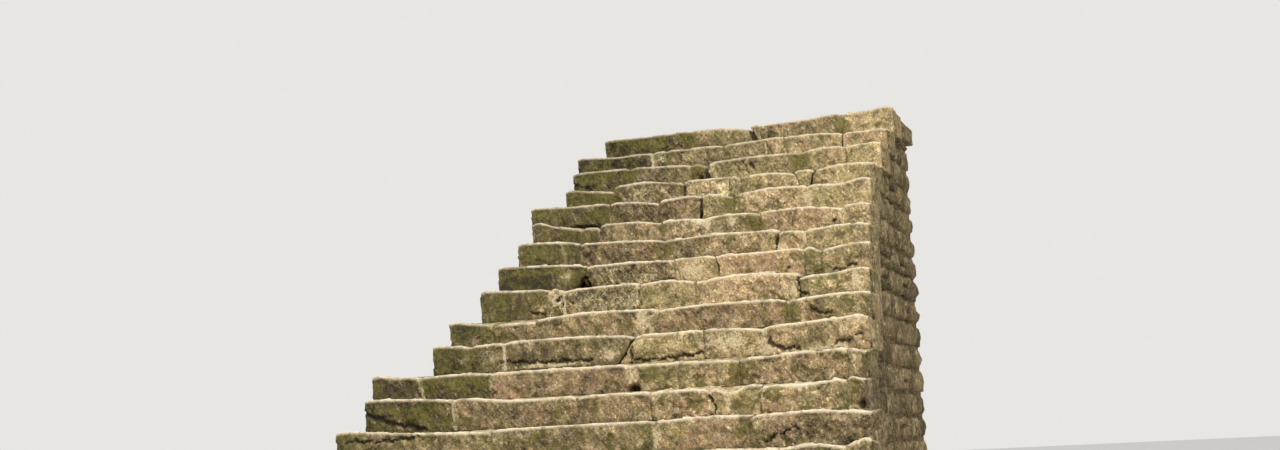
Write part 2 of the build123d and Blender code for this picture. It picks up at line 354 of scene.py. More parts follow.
class StageSettings(bpy.types.PropertyGroup):
    """Camera, floor and light."""

    camera_place: FloatVectorProperty(
        name="Camera place", description="Where the camera stands", subtype="TRANSLATION",
        size=3, default=(3.05, -10.642, 0.717))
    pitch: FloatProperty(
        name="Pitch", description="How far the camera looks up",
        default=math.radians(7.11), subtype="ANGLE")
    yaw: FloatProperty(
        name="Yaw", description="How far the camera looks left of the climbing direction",
        default=math.radians(17.33), subtype="ANGLE")
    roll: FloatProperty(
        name="Roll", description="How far the camera leans",
        default=math.radians(-2.75), subtype="ANGLE")
    lens: FloatProperty(
        name="Lens", description="Focal length in millimetres", default=50.0, unit="CAMERA")
    floor: FloatVectorProperty(
        name="Floor", description="Colour of the floor", subtype="COLOR", size=3,
        default=(0.60, 0.59, 0.56))
    backdrop: FloatVectorProperty(
        name="Backdrop", description="Colour behind the flight", subtype="COLOR", size=3,
        default=(0.80, 0.79, 0.77))
    floor_glow: FloatProperty(
        name="Floor glow", description="Share of the backdrop's colour in the floor that is seen",
        default=0.6, subtype="FACTOR", min=0.0, max=1.0)
    sky_level: FloatProperty(
        name="Sky level", description="Strength of the even light from all round", default=0.42)
    lamp_power: FloatProperty(
        name="Lamp power", description="Power of the broad lamp overhead",
        default=1200.0, unit="POWER")
    fill_power: FloatProperty(
        name="Fill power", description="Power of the broad lamp in front",
        default=360.0, unit="POWER")


class NodeMaker:
    """Adds nodes to a tree and joins them. What is fed may be a socket or a plain value."""

    def __init__(self, tree):
        self.tree = tree

    def feed(self, socket, value):
        if isinstance(value, bpy.types.NodeSocket):
            self.tree.links.new(value, socket)
        else:
            socket.default_value = value

    def add(self, kind, feeds=(), **settings):
        node = self.tree.nodes.new(kind)
        for name, value in settings.items():
            setattr(node, name, value)
        for place, value in dict(feeds).items():
            self.feed(node.inputs[place], value)
        return node

    def math(self, operation, *values):
        return self.add("ShaderNodeMath", enumerate(values), operation=operation).outputs[0]

    def plus(self, total, *others):
        for other in others:
            total = self.math("ADD", total, other)
        return total

    def minus(self, first, second):
        return self.math("SUBTRACT", first, second)

    def times(self, product, *others):
        for other in others:
            product = self.math("MULTIPLY", product, other)
        return product

    def vector(self, operation, *values):
        node = self.add("ShaderNodeVectorMath", enumerate(values), operation=operation)
        return node.outputs["Value" if operation == "DOT_PRODUCT" else "Vector"]

    def scaled(self, vector, factor):
        node = self.add("ShaderNodeVectorMath", {"Vector": vector, "Scale": factor}, operation="SCALE")
        return node.outputs["Vector"]

    def first_part(self, vector):
        return self.add("ShaderNodeSeparateXYZ", {0: vector}).outputs[0]

    def span(self, value, low, high, to_low=0.0, to_high=1.0):
        """A soft step from one value to the other where the value goes from low to high."""
        feeds = {"Value": value, "From Min": low, "From Max": high, "To Min": to_low, "To Max": to_high}
        node = self.add("ShaderNodeMapRange", feeds, interpolation_type="SMOOTHSTEP")
        return node.outputs["Result"]

    def noise(self, place, scale, detail=3.0, rough=0.5, twist=0.0):
        feeds = {"Vector": place, "Scale": scale, "Detail": detail, "Roughness": rough,
                 "Distortion": twist}
        return self.add("ShaderNodeTexNoise", feeds).outputs["Fac"]

    def cells(self, place, scale):
        return self.add("ShaderNodeTexVoronoi", {"Vector": place, "Scale": scale}).outputs

    def mix(self, share, first, second):
        node = self.add("ShaderNodeMix", data_type="RGBA", clamp_factor=True)
        for place, value in ((0, share), (6, first), (7, second)):
            self.feed(node.inputs[place], value)
        return node.outputs[2]

    def coat(self, tint, value, start, full, paint, share=1.0):
        """The tint under a paint that begins where the value is at start and covers it at full."""
        cover = self.span(value, start, full)
        return self.mix(cover if share == 1.0 else self.times(cover, share), tint, paint)


def colour(values, level=1.0):
    """A colour setting, lighter or darker, with the fourth number that sockets want."""
    return (*(level * value for value in values), 1.0)


def coats_over(nodes, tint, leads, coats):
    """The tint under these coats, one over the other. The leads are the values that lead them."""
    palette = bpy.context.scene.flight_colours
    for lead, start, full, paint, share in coats:
        tint = nodes.coat(tint, leads[lead], start, full, colour(getattr(palette, paint)), share)
    return tint


def once(kept, name, make):
    """The tree or material of that name, made when it is first asked for."""
    return kept.get(name) or make(name)


def empty_material(name):
    material = bpy.data.materials.new(name)
    material.use_nodes = True
    material.node_tree.nodes.clear()
    return material, NodeMaker(material.node_tree)


def end_material(nodes, tint, height, strength, depth, roughness, specular):
    """The material's shader, with a fine relief of that strength and depth."""
    bump = nodes.add("ShaderNodeBump", {"Height": height, "Strength": strength, "Distance": depth})
    shader = nodes.add("ShaderNodeBsdfPrincipled", {
        "Base Color": tint, "Roughness": roughness, "Specular IOR Level": specular,
        "Normal": bump.outputs["Normal"]})
    nodes.add("ShaderNodeOutputMaterial", {"Surface": shader.outputs[0]})


def new_tree(name, inputs):
    """An empty Geometry Nodes tree with its named inputs: (name, socket type, value)."""
    tree = bpy.data.node_groups.new(name, "GeometryNodeTree")
    tree.interface.new_socket("Geometry", in_out="INPUT", socket_type="NodeSocketGeometry")
    tree.interface.new_socket("Geometry", in_out="OUTPUT", socket_type="NodeSocketGeometry")
    for label, kind, value in inputs:
        socket = tree.interface.new_socket(label, in_out="INPUT", socket_type=kind)
        if value is not None:
            socket.default_value = value
    return tree, NodeMaker(tree)


def point_value(nodes, label, kind="FLOAT"):
    """A point attribute in a Geometry Nodes tree."""
    node = nodes.add("GeometryNodeInputNamedAttribute", {"Name": label}, data_type=kind)
    return node.outputs["Attribute"]


def painted(nodes, geometry, material):
    """The geometry with its instances realized and its material set."""
    real = nodes.add("GeometryNodeRealizeInstances", {0: geometry})
    feeds = {"Geometry": real.outputs[0], "Material": material}
    return nodes.add("GeometryNodeSetMaterial", feeds).outputs[0]


def grow(piece, tree, **inputs):
    """Puts the piece through a tree and leaves the result as its plain mesh."""
    modifier = piece.modifiers.new(tree.name, "NODES")
    modifier.node_group = tree
    sockets = {item.name: item.identifier for item in tree.interface.items_tree
               if item.item_type == "SOCKET" and item.in_out == "INPUT"}
    for label, value in inputs.items():
        modifier[sockets[label.replace("_", " ")]] = value
    graph = bpy.context.evaluated_depsgraph_get()
    mesh = bpy.data.meshes.new_from_object(
        piece.evaluated_get(graph), preserve_all_data_layers=True, depsgraph=graph)
    piece.modifiers.remove(modifier)
    before = piece.data
    piece.data = mesh
    bpy.data.meshes.remove(before)
    mesh.name = piece.name


def store(mesh, label, values, kind="FLOAT"):
    """Keeps a value or a vector with each point of a mesh."""
    layer = mesh.attributes.new(label, kind, "POINT")
    field = "vector" if kind == "FLOAT_VECTOR" else "value"
    layer.data.foreach_set(field, np.array(values, np.float32).ravel())


def place_in_scene(name, data):
    """A new object in the scene with that mesh, lamp or camera."""
    piece = bpy.data.objects.new(name, data)
    bpy.context.scene.collection.objects.link(piece)
    return piece


def hand_over(piece, node=None):
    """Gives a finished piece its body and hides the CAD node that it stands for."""
    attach(piece, BODY)
    if node:
        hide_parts(node)


# Patterns on a stone start at a place of its own, by its number times these
RELIEF_SHIFT = (7.31, 1.7)
TINT_SHIFT = (3.7, 0.6)
COMB_SLANT = (0.0, math.radians(38), 0.0)  # how far the faces' tool marks lean
COMB_STRETCH = (1.0, 1.0, 0.2)  # a tool mark's width over its length, along the last axis
BEND = (18.0, 2.0, 0.05)  # scale, detail and depth of the bends in the edges of facets and pits
PIT_RIM = (0.42, 0.05)  # from the middle of a pit's cell, how far out its rim and its floor lie
PITTED = 0.72  # the cells above this share have a pit
HOLLOW_SPAN = 0.006  # a point this much under the face is fully hollow, and this much over it not
FACET_HOLLOW = 0.6  # share of a facet's height that counts as hollow

# Noises in the relief by detail, roughness and twist
RELIEF_NOISES = {"Swell": (1.0,), "Rough": (5.0, 0.6, 0.4), "Comb": (3.0, 0.55, 0.3)}


def relief_tree(name):
    """Geometry Nodes tree that gives a dense mesh of stones its hewn and weathered relief.

    It reads the points' relief, show and stone attributes and leaves the attribute hollow,
    which is how deep a point lies among its neighbours.
    """
    tree, nodes = new_tree(name, [
        ("Seed", "NodeSocketInt", 7),
        ("Swell Depth", "NodeSocketFloat", 0.006), ("Swell Size", "NodeSocketFloat", 0.30),
        ("Facet Slope", "NodeSocketFloat", 0.07), ("Facet Size", "NodeSocketFloat", 0.08),
        ("Rough Depth", "NodeSocketFloat", 0.0035), ("Rough Size", "NodeSocketFloat", 0.035),
        ("Pit Depth", "NodeSocketFloat", 0.003), ("Pit Size", "NodeSocketFloat", 0.030),
        ("Comb Depth", "NodeSocketFloat", 0.0022), ("Comb Size", "NodeSocketFloat", 0.026),
        ("Lowest", "NodeSocketVector", (-1000.0, -1000.0, 0.0)),
        ("Material", "NodeSocketMaterial", None),
    ])
    given = nodes.add("NodeGroupInput").outputs
    middle = (0.5, 0.5, 0.5)

    def per_size(label):
        return nodes.math("DIVIDE", 1.0, given[label])

    def waves(label, place):
        """Waves of the label's size, as heights of up to its depth to both sides of the face."""
        noise = nodes.noise(place, per_size(f"{label} Size"), *RELIEF_NOISES[label])
        return nodes.times(nodes.minus(noise, 0.5), given[f"{label} Depth"], 2.0)

    place = nodes.add("GeometryNodeInputPosition").outputs["Position"]
    turn = nodes.math("MULTIPLY_ADD", point_value(nodes, "stone"), RELIEF_SHIFT[0], given["Seed"])
    aside = nodes.add("ShaderNodeCombineXYZ", {0: turn, 1: nodes.times(turn, RELIEF_SHIFT[1])})
    place = nodes.vector("ADD", place, aside.outputs[0])

    scale, detail, depth = BEND
    bent = nodes.add("ShaderNodeTexNoise", {"Vector": place, "Scale": scale, "Detail": detail})
    bent = nodes.scaled(nodes.vector("SUBTRACT", bent.outputs["Color"], middle), depth)
    bent = nodes.vector("ADD", place, bent)
    cells = nodes.cells(bent, per_size("Facet Size"))
    tilt = nodes.vector("SUBTRACT", cells["Color"], middle)
    away = nodes.vector("SUBTRACT", bent, cells["Position"])
    facet = nodes.times(nodes.vector("DOT_PRODUCT", tilt, away), given["Facet Slope"], 2.0)

    slant = nodes.add("FunctionNodeEulerToRotation", {0: COMB_SLANT})
    slant = nodes.add("FunctionNodeRotateVector", {"Vector": place, "Rotation": slant.outputs[0]})
    slant = nodes.vector("MULTIPLY", slant.outputs[0], COMB_STRETCH)
    swell, rough = waves("Swell", place), nodes.plus(waves("Rough", place), waves("Comb", slant))

    pits = nodes.cells(bent, per_size("Pit Size"))
    chosen = nodes.math("GREATER_THAN", nodes.first_part(pits["Color"]), PITTED)
    pit = nodes.times(nodes.span(pits["Distance"], *PIT_RIM), chosen, given["Pit Depth"])

    height = nodes.times(nodes.plus(facet, rough, swell), point_value(nodes, "relief"))
    height = nodes.times(nodes.minus(height, pit), point_value(nodes, "show"))
    normal = nodes.add("GeometryNodeInputNormal").outputs["Normal"]
    moved = nodes.add("GeometryNodeSetPosition", {
        "Geometry": given["Geometry"], "Offset": nodes.scaled(normal, height)})
    now = nodes.add("GeometryNodeInputPosition").outputs["Position"]
    moved = nodes.add("GeometryNodeSetPosition", {
        "Geometry": moved.outputs[0], "Position": nodes.vector("MAXIMUM", now, given["Lowest"])})

    depth = nodes.minus(pit, nodes.plus(rough, nodes.times(facet, FACET_HOLLOW)))
    kept = nodes.add("GeometryNodeStoreNamedAttribute", {
        "Geometry": moved.outputs[0], "Name": "hollow",
        "Value": nodes.span(depth, -HOLLOW_SPAN, HOLLOW_SPAN)}, data_type="FLOAT", domain="POINT")
    nodes.add("NodeGroupOutput", {0: painted(nodes, kept.outputs[0], given["Material"])})
    return tree


# Noises in the granite: scale, detail, roughness and twist
GRANITE_NOISES = {
    "drift": (3.2, 3.0),  # broad change from plain to olive stone
    "clouds": (11.0, 9.0, 0.74, 0.3),
    "specks": (70.0, 5.0, 0.72, 0.3),
    "fine": (230.0, 3.0, 0.65),
    "combed": (55.0, 4.0, 0.62, 0.4),  # along the tool marks
    "streaks": (26.0, 4.0, 0.6),  # upright, where water ran down
    "growth": (15.0, 8.0, 0.68, 0.6),
    "iron": (9.0, 5.0, 0.65),
    "crusts": (52.0, 4.0, 0.6, 1.0),
    "uneven": (4.5, 2.0),
    "tinge": (40.0, 5.0, 0.75),
    "blotches": (42.0, 5.0, 0.75, 0.5),  # in the moss
    "rubbing": (8.0, 5.0, 0.62),
}
GRAIN_SCALE = 150.0
STREAK_STRETCH = (1.0, 1.0, 0.22)

# How much light and dark each noise gives: from and to which value of the noise, and the
# lightness that it adds there
LIGHTNESS = {
    "clouds": (0.28, 0.72, 0.52, 1.48),
    "combed": (0.28, 0.72, -0.36, 0.36),
    "uneven": (0.3, 0.7, -0.16, 0.16),
}
TONE_LIGHTNESS = 0.90  # what the marking tone adds
GRAIN_LIGHTNESS = 0.60
LEAST_LIGHTNESS = 0.15
TINGES = {0: 0.06, 2: -0.24}  # how far the red and the blue stray, one against the other
TINGE_SPAN = (0.3, 0.7, -1.0, 1.0)

# Coats on the bare granite: what leads a coat, from which value of that it begins and from
# which it is full, its colour setting, and its share of cover
GRANITE_COATS = (
    ("clouds", 0.54, 0.78, "pale", 1.0),
    ("clouds", 0.44, 0.24, "dark", 1.0),
    ("specks", 0.46, 0.32, "dark", 0.95),
    ("specks", 0.55, 0.68, "pale", 0.95),
    # Darker in the relief's hollows: partly dirt in the pits, and partly painted shade
    ("hollow", 0.55, 1.0, "dark", 0.7),
    ("lichen", 0.64, 0.76, "lichen", 0.85),
)
LICHEN_ON_CRUSTS = 0.16  # what the marking lichen adds to the noise of the crusts

# Where the other coats begin and where they are full
EDGES = {
    "olive": (0.36, 0.64),
    "warmth": (-0.3, 1.1),
    "iron": (0.36, 0.60),
    "grime": (0.15, 0.95),
    "lime": (0.35, 0.65),
    "mortar": (0.35, 0.65),
    "moss": (0.22, 0.70),
    "fresh moss": (0.40, 0.62),
}
GRIME_AND_SHADE_COVER = 0.85
MOSS_COVER = 0.75
DARK_LIME = 0.68  # lightness of the mortar's dark specks

# How noises break up the edge of a growth, of dirt and painted shade, or of mortar: from and to which
# value of the noise, and what is added to the marking there
BREAK_UP = {
    "grime": {"streaks": (0.2, 0.8, -0.55, 0.40)},
    "mortar": {"growth": (0.2, 0.8, -0.45, 0.45), "specks": (0.3, 0.7, -0.22, 0.22)},
    "moss": {"growth": (0.33, 0.67, -0.68, 0.56), "blotches": (0.3, 0.7, 0.16, -0.16)},
}
MOSS_IN_HOLLOWS = 0.12
RUBBING_AND_HIGHLIGHT = (0.32, 0.58, 0.70, 1.0)
KEPT_BY_MOSS = 0.45  # how much of the wear and its painted highlight full moss covers again

# How deep the bump of each noise is, against the deepest
GRANITE_BUMPS = {"specks": 1.0, "fine": 0.35, "combed": 0.5}
GRAIN_BUMP = -0.25


def granite(name):
    """Weathered granite that follows a stone's markings, with growth, mortar and grime on it."""
    material, nodes = empty_material(name)
    palette = bpy.context.scene.flight_colours
    bare = nodes.add("ShaderNodeTexCoord").outputs["Object"]

    def marking(label):
        return nodes.add("ShaderNodeAttribute", attribute_name=label).outputs["Fac"]

    own = nodes.times(marking("stone"), TINT_SHIFT[0])
    aside = nodes.add("ShaderNodeCombineXYZ", {0: own, 2: nodes.times(own, TINT_SHIFT[1])})
    place = nodes.vector("ADD", bare, aside.outputs[0])
    slant = nodes.add("ShaderNodeVectorRotate", {"Vector": place, "Rotation": COMB_SLANT},
                      rotation_type="EULER_XYZ")
    slant = nodes.vector("MULTIPLY", slant.outputs[0], COMB_STRETCH)
    upright = nodes.vector("MULTIPLY", bare, STREAK_STRETCH)
    where = {"combed": slant, "streaks": upright, "growth": bare, "blotches": bare}
    noises = {label: nodes.noise(where.get(label, place), *noise)
              for label, noise in GRANITE_NOISES.items()}
    grains = nodes.cells(place, GRAIN_SCALE)
    hollow = marking("hollow")

    def broken_up(label):
        """The marking, and what each noise adds to it."""
        return [marking(label), *(nodes.span(noises[noise], *span)
                                  for noise, span in BREAK_UP[label].items())]

    tint = nodes.coat(colour(palette.stone), noises["drift"], *EDGES["olive"], colour(palette.olive))
    reddish = nodes.times(nodes.span(marking("warmth"), *EDGES["warmth"]),
                          nodes.span(noises["iron"], *EDGES["iron"]))
    tint = nodes.mix(reddish, tint, colour(palette.red))
    lichen = nodes.plus(nodes.times(marking("lichen"), LICHEN_ON_CRUSTS), noises["crusts"])
    tint = coats_over(nodes, tint, {**noises, "hollow": hollow, "lichen": lichen}, GRANITE_COATS)

    spans = {label: nodes.span(noises[label], *span) for label, span in LIGHTNESS.items()}
    grain = nodes.times(nodes.minus(nodes.first_part(grains["Color"]), 0.5), GRAIN_LIGHTNESS)
    level = nodes.plus(nodes.times(marking("tone"), TONE_LIGHTNESS), spans["clouds"], spans["combed"],
                       grain, spans["uneven"])
    tint = nodes.scaled(tint, nodes.math("MAXIMUM", level, LEAST_LIGHTNESS))
    tinge = nodes.span(noises["tinge"], *TINGE_SPAN)
    tinges = {part: nodes.math("MULTIPLY_ADD", tinge, amount, 1.0) for part, amount in TINGES.items()}
    tinges = nodes.add("ShaderNodeCombineXYZ", {1: 1.0, **tinges})
    tint = nodes.vector("MULTIPLY", tint, tinges.outputs[0])

    # Grime, and painted shade where the grime marking stands for it
    dirt_and_shade = nodes.plus(*broken_up("grime"))
    tint = nodes.coat(tint, dirt_and_shade, *EDGES["grime"], colour(palette.grime), GRIME_AND_SHADE_COVER)
    lime = colour(palette.mortar)
    lime = nodes.coat(colour(palette.mortar, DARK_LIME), noises["specks"], *EDGES["lime"], lime)
    tint = nodes.coat(tint, nodes.plus(*broken_up("mortar")), *EDGES["mortar"], lime)

    moss, growth, blotches = broken_up("moss")
    green = nodes.plus(moss, growth, nodes.times(hollow, MOSS_IN_HOLLOWS), blotches)
    green = nodes.span(green, *EDGES["moss"])
    moss = colour(palette.moss)
    moss = nodes.coat(colour(palette.old_moss), noises["blotches"], *EDGES["fresh moss"], moss)
    tint = nodes.mix(nodes.times(green, MOSS_COVER), tint, moss)
    # Worn stone, which on the nosings is also a painted highlight
    rubbed_and_highlight = nodes.times(nodes.span(noises["rubbing"], *RUBBING_AND_HIGHLIGHT),
                         nodes.minus(1.0, nodes.times(green, KEPT_BY_MOSS)))
    tint = nodes.mix(nodes.times(marking("wear"), rubbed_and_highlight), tint, colour(palette.rubbed_and_highlight))

    relief = nodes.plus(*(nodes.times(noises[label], share) for label, share in GRANITE_BUMPS.items()),
                        nodes.times(grains["Distance"], GRAIN_BUMP))
    end_material(nodes, tint, relief, strength=1.0, depth=0.012, roughness=0.92, specular=0.25)
    return material


def stone_material():
    return once(bpy.data.materials, "weathered_granite", granite)


def roughen(piece, **inputs):
    """Gives a piece of stones its relief and its granite."""
    tree = once(bpy.data.node_groups, "Hewn relief", relief_tree)
    grow(piece, tree, **inputs, Material=stone_material())


def smooth_between(places, values, at):
    """Values between stations, softly joined and never past the stations' own values."""
    steps = np.diff(places)
    rates = np.diff(values) / steps
    slopes = np.zeros(len(values))
    for i in range(1, len(values) - 1):
        if rates[i - 1] * rates[i] > 0:
            slopes[i] = 2 / (1 / rates[i - 1] + 1 / rates[i])
    i = np.clip(np.searchsorted(places, at) - 1, 0, len(steps) - 1)
    t = (at - places[i]) / steps[i]
    h00, h10 = 2 * t**3 - 3 * t**2 + 1, t**3 - 2 * t**2 + t
    h01, h11 = 3 * t**2 - 2 * t**3, t**3 - t**2
    before = h00 * values[i] + h10 * steps[i] * slopes[i]
    return before + h01 * values[i + 1] + h11 * steps[i] * slopes[i + 1]


SAME_POINT = 0.01 * MM  # points nearer than this are one
SAME_STATION = 0.1 * MM
BEHIND_SECTION = 20 * MM  # a stone's corners nearer to its back than this don't change


def merged_node(node):
    """A CAD node's mesh with its loose triangles joined. It is for the caller to free."""
    shape = bmesh.new()
    shape.from_mesh(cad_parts[node].data)
    bmesh.ops.remove_doubles(shape, verts=shape.verts, dist=SAME_POINT)
    return shape


def loose_parts(node):
    """The separate stones of a CAD node, from left to right, each as an array of its points."""
    shape = merged_node(node)
    left, parts = set(shape.verts), []
    for first in shape.verts:
        if first not in left:
            continue
        left.remove(first)
        edge, part = [first], [first]
        while edge:
            for link in edge.pop().link_edges:
                for point in link.verts:
                    if point in left:
                        left.remove(point)
                        edge.append(point)
                        part.append(point)
        parts.append(np.array([point.co[:] for point in part]))
    shape.free()
    return sorted(parts, key=lambda part: part[:, 0].mean())


SECTION_POINTS = 6  # corners of a step stone's section that change from station to station


class Section:
    """What lies between stations along a row, each with its corners in the plane across it."""

    def __init__(self, base, back, stations, corners):
        self.base, self.back = base, back
        self.stations, self.corners = np.array(stations), np.array(corners)
        self.start, self.end = self.stations[0], self.stations[-1]
        self.front = self.corners[:, 1, 0].min()

    def corners_at(self, x):
        """Corners of the section at each of the given places."""
        return np.stack([
            np.stack([smooth_between(self.stations, self.corners[:, corner, axis], x)
                      for axis in range(2)], axis=-1)
            for corner in range(SECTION_POINTS)], axis=1)


def step_stone(points):
    """One stone of a row, read from its points in the frame."""
    base, back = points[:, 2].min(), points[:, 1].max()
    points = points[points[:, 0].argsort()]
    breaks = np.nonzero(np.diff(points[:, 0]) > SAME_STATION)[0] + 1
    stations, corners = [], []
    for here in np.split(points, breaks):
        x = here[:, 0].mean()
        here = here[here[:, 1] < back - BEHIND_SECTION]
        if len(here) != SECTION_POINTS:
            continue
        foot = here[here[:, 2].argmin()]
        rest = here[here[:, 2] > foot[2] + MM]
        rest = rest[rest[:, 1].argsort()]
        corners.append(np.vstack([foot[None], rest])[:, 1:])
        stations.append(x)
    return Section(base, back, stations, corners)


def stones_of(row_name):
    return [step_stone(points) for points in loose_parts(row_name)]


ARRIS_SECTIONS = (0.0, 0.12, 0.4, 0.8, 1.4)  # how far from a stone's end, in arris radiuses


def columns(start, end, spacing, arris):
    """Places along a stone where its section is drawn: closer together at its two ends."""
    near = arris * np.array(ARRIS_SECTIONS)
    inner_start, inner_end = start + near[-1], end - near[-1]
    count = max(2, round((inner_end - inner_start) / spacing))
    inner = np.linspace(inner_start, inner_end, count + 1)
    return np.concatenate([start + near[:-1], inner, end - near[-2::-1]])


def drawn_in(x, start, end, arris):
    """The share of its radius by which an arris at both ends draws in the section at each place."""
    inset = np.clip(1 - np.minimum(x - start, end - x) / arris, 0, 1)
    return 1 - np.sqrt(1 - inset**2)


def rounded(first, corner, last, count):
    """Points on a curve from first up to last that nearly reaches the corner between them."""
    t = (np.arange(count) / count)[None, :, None]
    corner = corner[:, None]
    return corner + (1 - t) ** 3 * (first[:, None] - corner) + t**3 * (last[:, None] - corner)


def line(first, last, count):
    """Points from first up to last."""
    t = (np.arange(count) / count)[None, :, None]
    return (1 - t) * first[:, None] + t * last[:, None]


def join_parts(parts):
    """Rings put together from these parts, and each ring point's spot.

    A spot is the part's number, its zone, plus how far through the zone the point lies.
    """
    spots = [zone + np.arange(part.shape[1]) / part.shape[1] for zone, part in enumerate(parts)]
    return np.concatenate(parts, axis=1), np.concatenate(spots)


RISER, EDGE, TREAD_FRONT, TREAD_BACK, STRIP, BACK, UNDERSIDE = range(7)
IN_CAP = -1.0  # the spot of the points inside a stone's ends
LEAST_RISER = 6  # points up a riser at least
EDGE_POINTS, TREAD_POINTS, HIDDEN_POINTS = 7, (7, 5), 2


def step_rings(stone, x, spacing):
    """Rings round a step stone at the places x: (places, ring points, 2), and their spots.

    The ring goes up the riser, round the worn edge, back over the tread and down behind.
    """
    foot, riser_top, _, tread_front, hollow, strip = np.moveaxis(stone.corners_at(x), 1, 0)
    back_top = np.stack([np.full(len(x), stone.back), strip[:, 1]], axis=-1)
    back_foot = np.stack([np.full(len(x), stone.back), foot[:, 1]], axis=-1)
    corner = np.stack([riser_top[:, 0], tread_front[:, 1]], axis=-1)
    up = max(LEAST_RISER, round(abs(riser_top[0, 1] - foot[0, 1]) / spacing))
    return join_parts([
        line(foot, riser_top, up),
        rounded(riser_top, corner, tread_front, EDGE_POINTS),
        line(tread_front, hollow, TREAD_POINTS[0]),
        line(hollow, strip, TREAD_POINTS[1]),
        line(strip, back_top, HIDDEN_POINTS),
        line(back_top, back_foot, HIDDEN_POINTS),
        line(back_foot, foot, HIDDEN_POINTS),
    ])


TINY = 1e-9  # no length is divided by less


def shrink_rings(rings, by):
    """Each ring moved inwards by its own distance, along its corners' normals."""
    along = np.roll(rings, -1, axis=1) - np.roll(rings, 1, axis=1)
    inwards = np.stack([along[..., 1], -along[..., 0]], axis=-1)
    inwards /= np.maximum(np.linalg.norm(inwards, axis=-1, keepdims=True), TINY)
    return rings + inwards * by[:, None, None]


def closed_loft(x, rings, caps):
    """Points and faces of a stone lofted through its rings.

    Each of the two ends is closed by its number of caps: rounds of faces inside each other.
    """
    count, size = rings.shape[:2]
    points = np.concatenate([np.repeat(x, size)[:, None], rings.reshape(-1, 2)], axis=1)
    ring = np.arange(size)
    after = (ring + 1) % size

    def between(first, second):
        return np.stack([first + ring, second + ring, second + after, first + after], axis=1)

    quads = [between(i * size, (i + 1) * size) for i in range(count - 1)]
    triangles = []
    blocks = [points]
    total = len(points)
    for end, rounds in ((0, caps[0]), (count - 1, caps[1])):
        centre = rings[end].mean(0)
        last = end * size
        for share in np.linspace(1, 0, rounds + 1)[1:-1]:
            inner = centre + (rings[end] - centre) * share
            blocks.append(np.column_stack([np.full(size, x[end]), inner]))
            quads.append(between(last, total) if end else between(total, last))
            last = total
            total += size
        blocks.append([[x[end], *centre]])
        spoke = np.full(size, total)
        around = (last + ring, last + after)
        triangles.append(np.stack([*around[::1 if end == 0 else -1], spoke], axis=1))
        total += 1
    return np.concatenate(blocks), np.concatenate(quads), np.concatenate(triangles)


def spread_spots(spots, x, points):
    """The spot of every point of a loft with these ring spots."""
    in_caps = len(points) - len(x) * len(spots)
    return np.concatenate([np.tile(spots, len(x)), np.full(in_caps, IN_CAP)])


class Heap:
    """Collects the points, faces and markings of many stones into one mesh."""

    def __init__(self):
        self.points, self.faces, self.total = [], [], 0
        self.markings = {label: [] for label in MARKINGS}

    def add(self, points, quads, triangles, markings):
        self.points.append(points)
        for faces in (quads, triangles):
            self.faces += (np.asarray(faces) + self.total).tolist()
        for label in MARKINGS:
            values = markings.get(label, 0.0)
            self.markings[label].append(np.broadcast_to(values, len(points)))
        self.total += len(points)

    def piece(self, name):
        mesh = bpy.data.meshes.new(name)
        mesh.from_pydata(np.concatenate(self.points).tolist(), [], self.faces)
        for label, values in self.markings.items():
            store(mesh, label, np.concatenate(values))
        mesh.shade_smooth()
        return place_in_scene(name, mesh)


def bell(distance):
    """1 in the middle, softly down to 0 at a distance of 1."""
    near = np.clip(1 - np.abs(distance), 0, 1)
    return near * near * (3 - 2 * near)


def fading(distance, reach):
    """1 at a distance of 0, evenly down to 0 at the reach."""
    return np.clip(1 - distance / reach, 0, 1)


# Waves by height and by how fast they go along their own way and along the other, per metre
BROKEN_ACROSS = ((5 * MM, 110, 0), (3 * MM, 290, 60))
BROKEN_UP = ((6 * MM, 70, 0), (4 * MM, 190, 50))
CRACK_SWELL = (0.35, 45, 80)
CRACK_LEAST = 0.85  # a crack's width between the swells, as a share of its own
RAGGED = 0.22  # how far a stain's outline strays, as a share of its distance
RAGGED_ACROSS, RAGGED_UP = (70, 2, 55), (85, 2, 48)  # rate, bend and the bend's rate


def wave(own, other, height, rate, other_rate):
    return height * np.sin(own * rate + other * other_rate)


def broken(x, z):
    """Moves places in a riser's plane by waves, so that a straight crack looks broken."""
    across = sum((wave(z, x, *shape) for shape in BROKEN_ACROSS), x)
    return across, sum((wave(across, z, *shape) for shape in BROKEN_UP), z)


def distance_to_line(x, z, corners):
    """How far points in the riser's plane lie from a crack's broken line."""
    x, z = broken(x, z)
    nearest = np.full(len(x), np.inf)
    for (x0, z0), (x1, z1) in zip(corners, corners[1:]):
        run = np.array([x1 - x0, z1 - z0])
        t = np.clip(((x - x0) * run[0] + (z - z0) * run[1]) / (run @ run), 0, 1)
        nearest = np.minimum(nearest, np.hypot(x - x0 - t * run[0], z - z0 - t * run[1]))
    return nearest


def crack_width(x, up):
    """A crack's width at places in the riser's plane, as a share of its own."""
    return CRACK_LEAST + wave(x, up, *CRACK_SWELL)


def ragged(x, up):
    """A factor near 1 that keeps a stain's outline uneven."""
    def bent(own, other, rate, bend, bend_rate):
        return np.sin(own * rate + bend * np.sin(other * bend_rate))

    return 1 + RAGGED * bent(x, up, *RAGGED_ACROSS) * bent(up, x, *RAGGED_UP)


FACE_ZONE = 60 * MM  # what lies no further behind a stone's front belongs to its riser
CRACK_DEPTH = 24 * MM
MARK_REACH = 0.8  # a mark ends where its distance in half widths and heights times this is 1
DENT_FLOOR = 1.8  # above 1, a dent has a flat floor
DENT_SHADE = (3.5, 1.2)  # slope and start of the painted shade in a dent, which has a sharp edge
# how much painted shade, as grime, cracks and holes get
SHADE_IN_HOLES = 1.6


def darken(markings, share):
    """Painted shade where a crack or a hole lies: the grime colour instead of growth, mortar and rubbed
    stone.
    """
    markings["grime"] = markings["grime"] + SHADE_IN_HOLES * share
    for kind in ("moss", "mortar", "wear"):
        markings[kind] = markings[kind] * (1 - share)


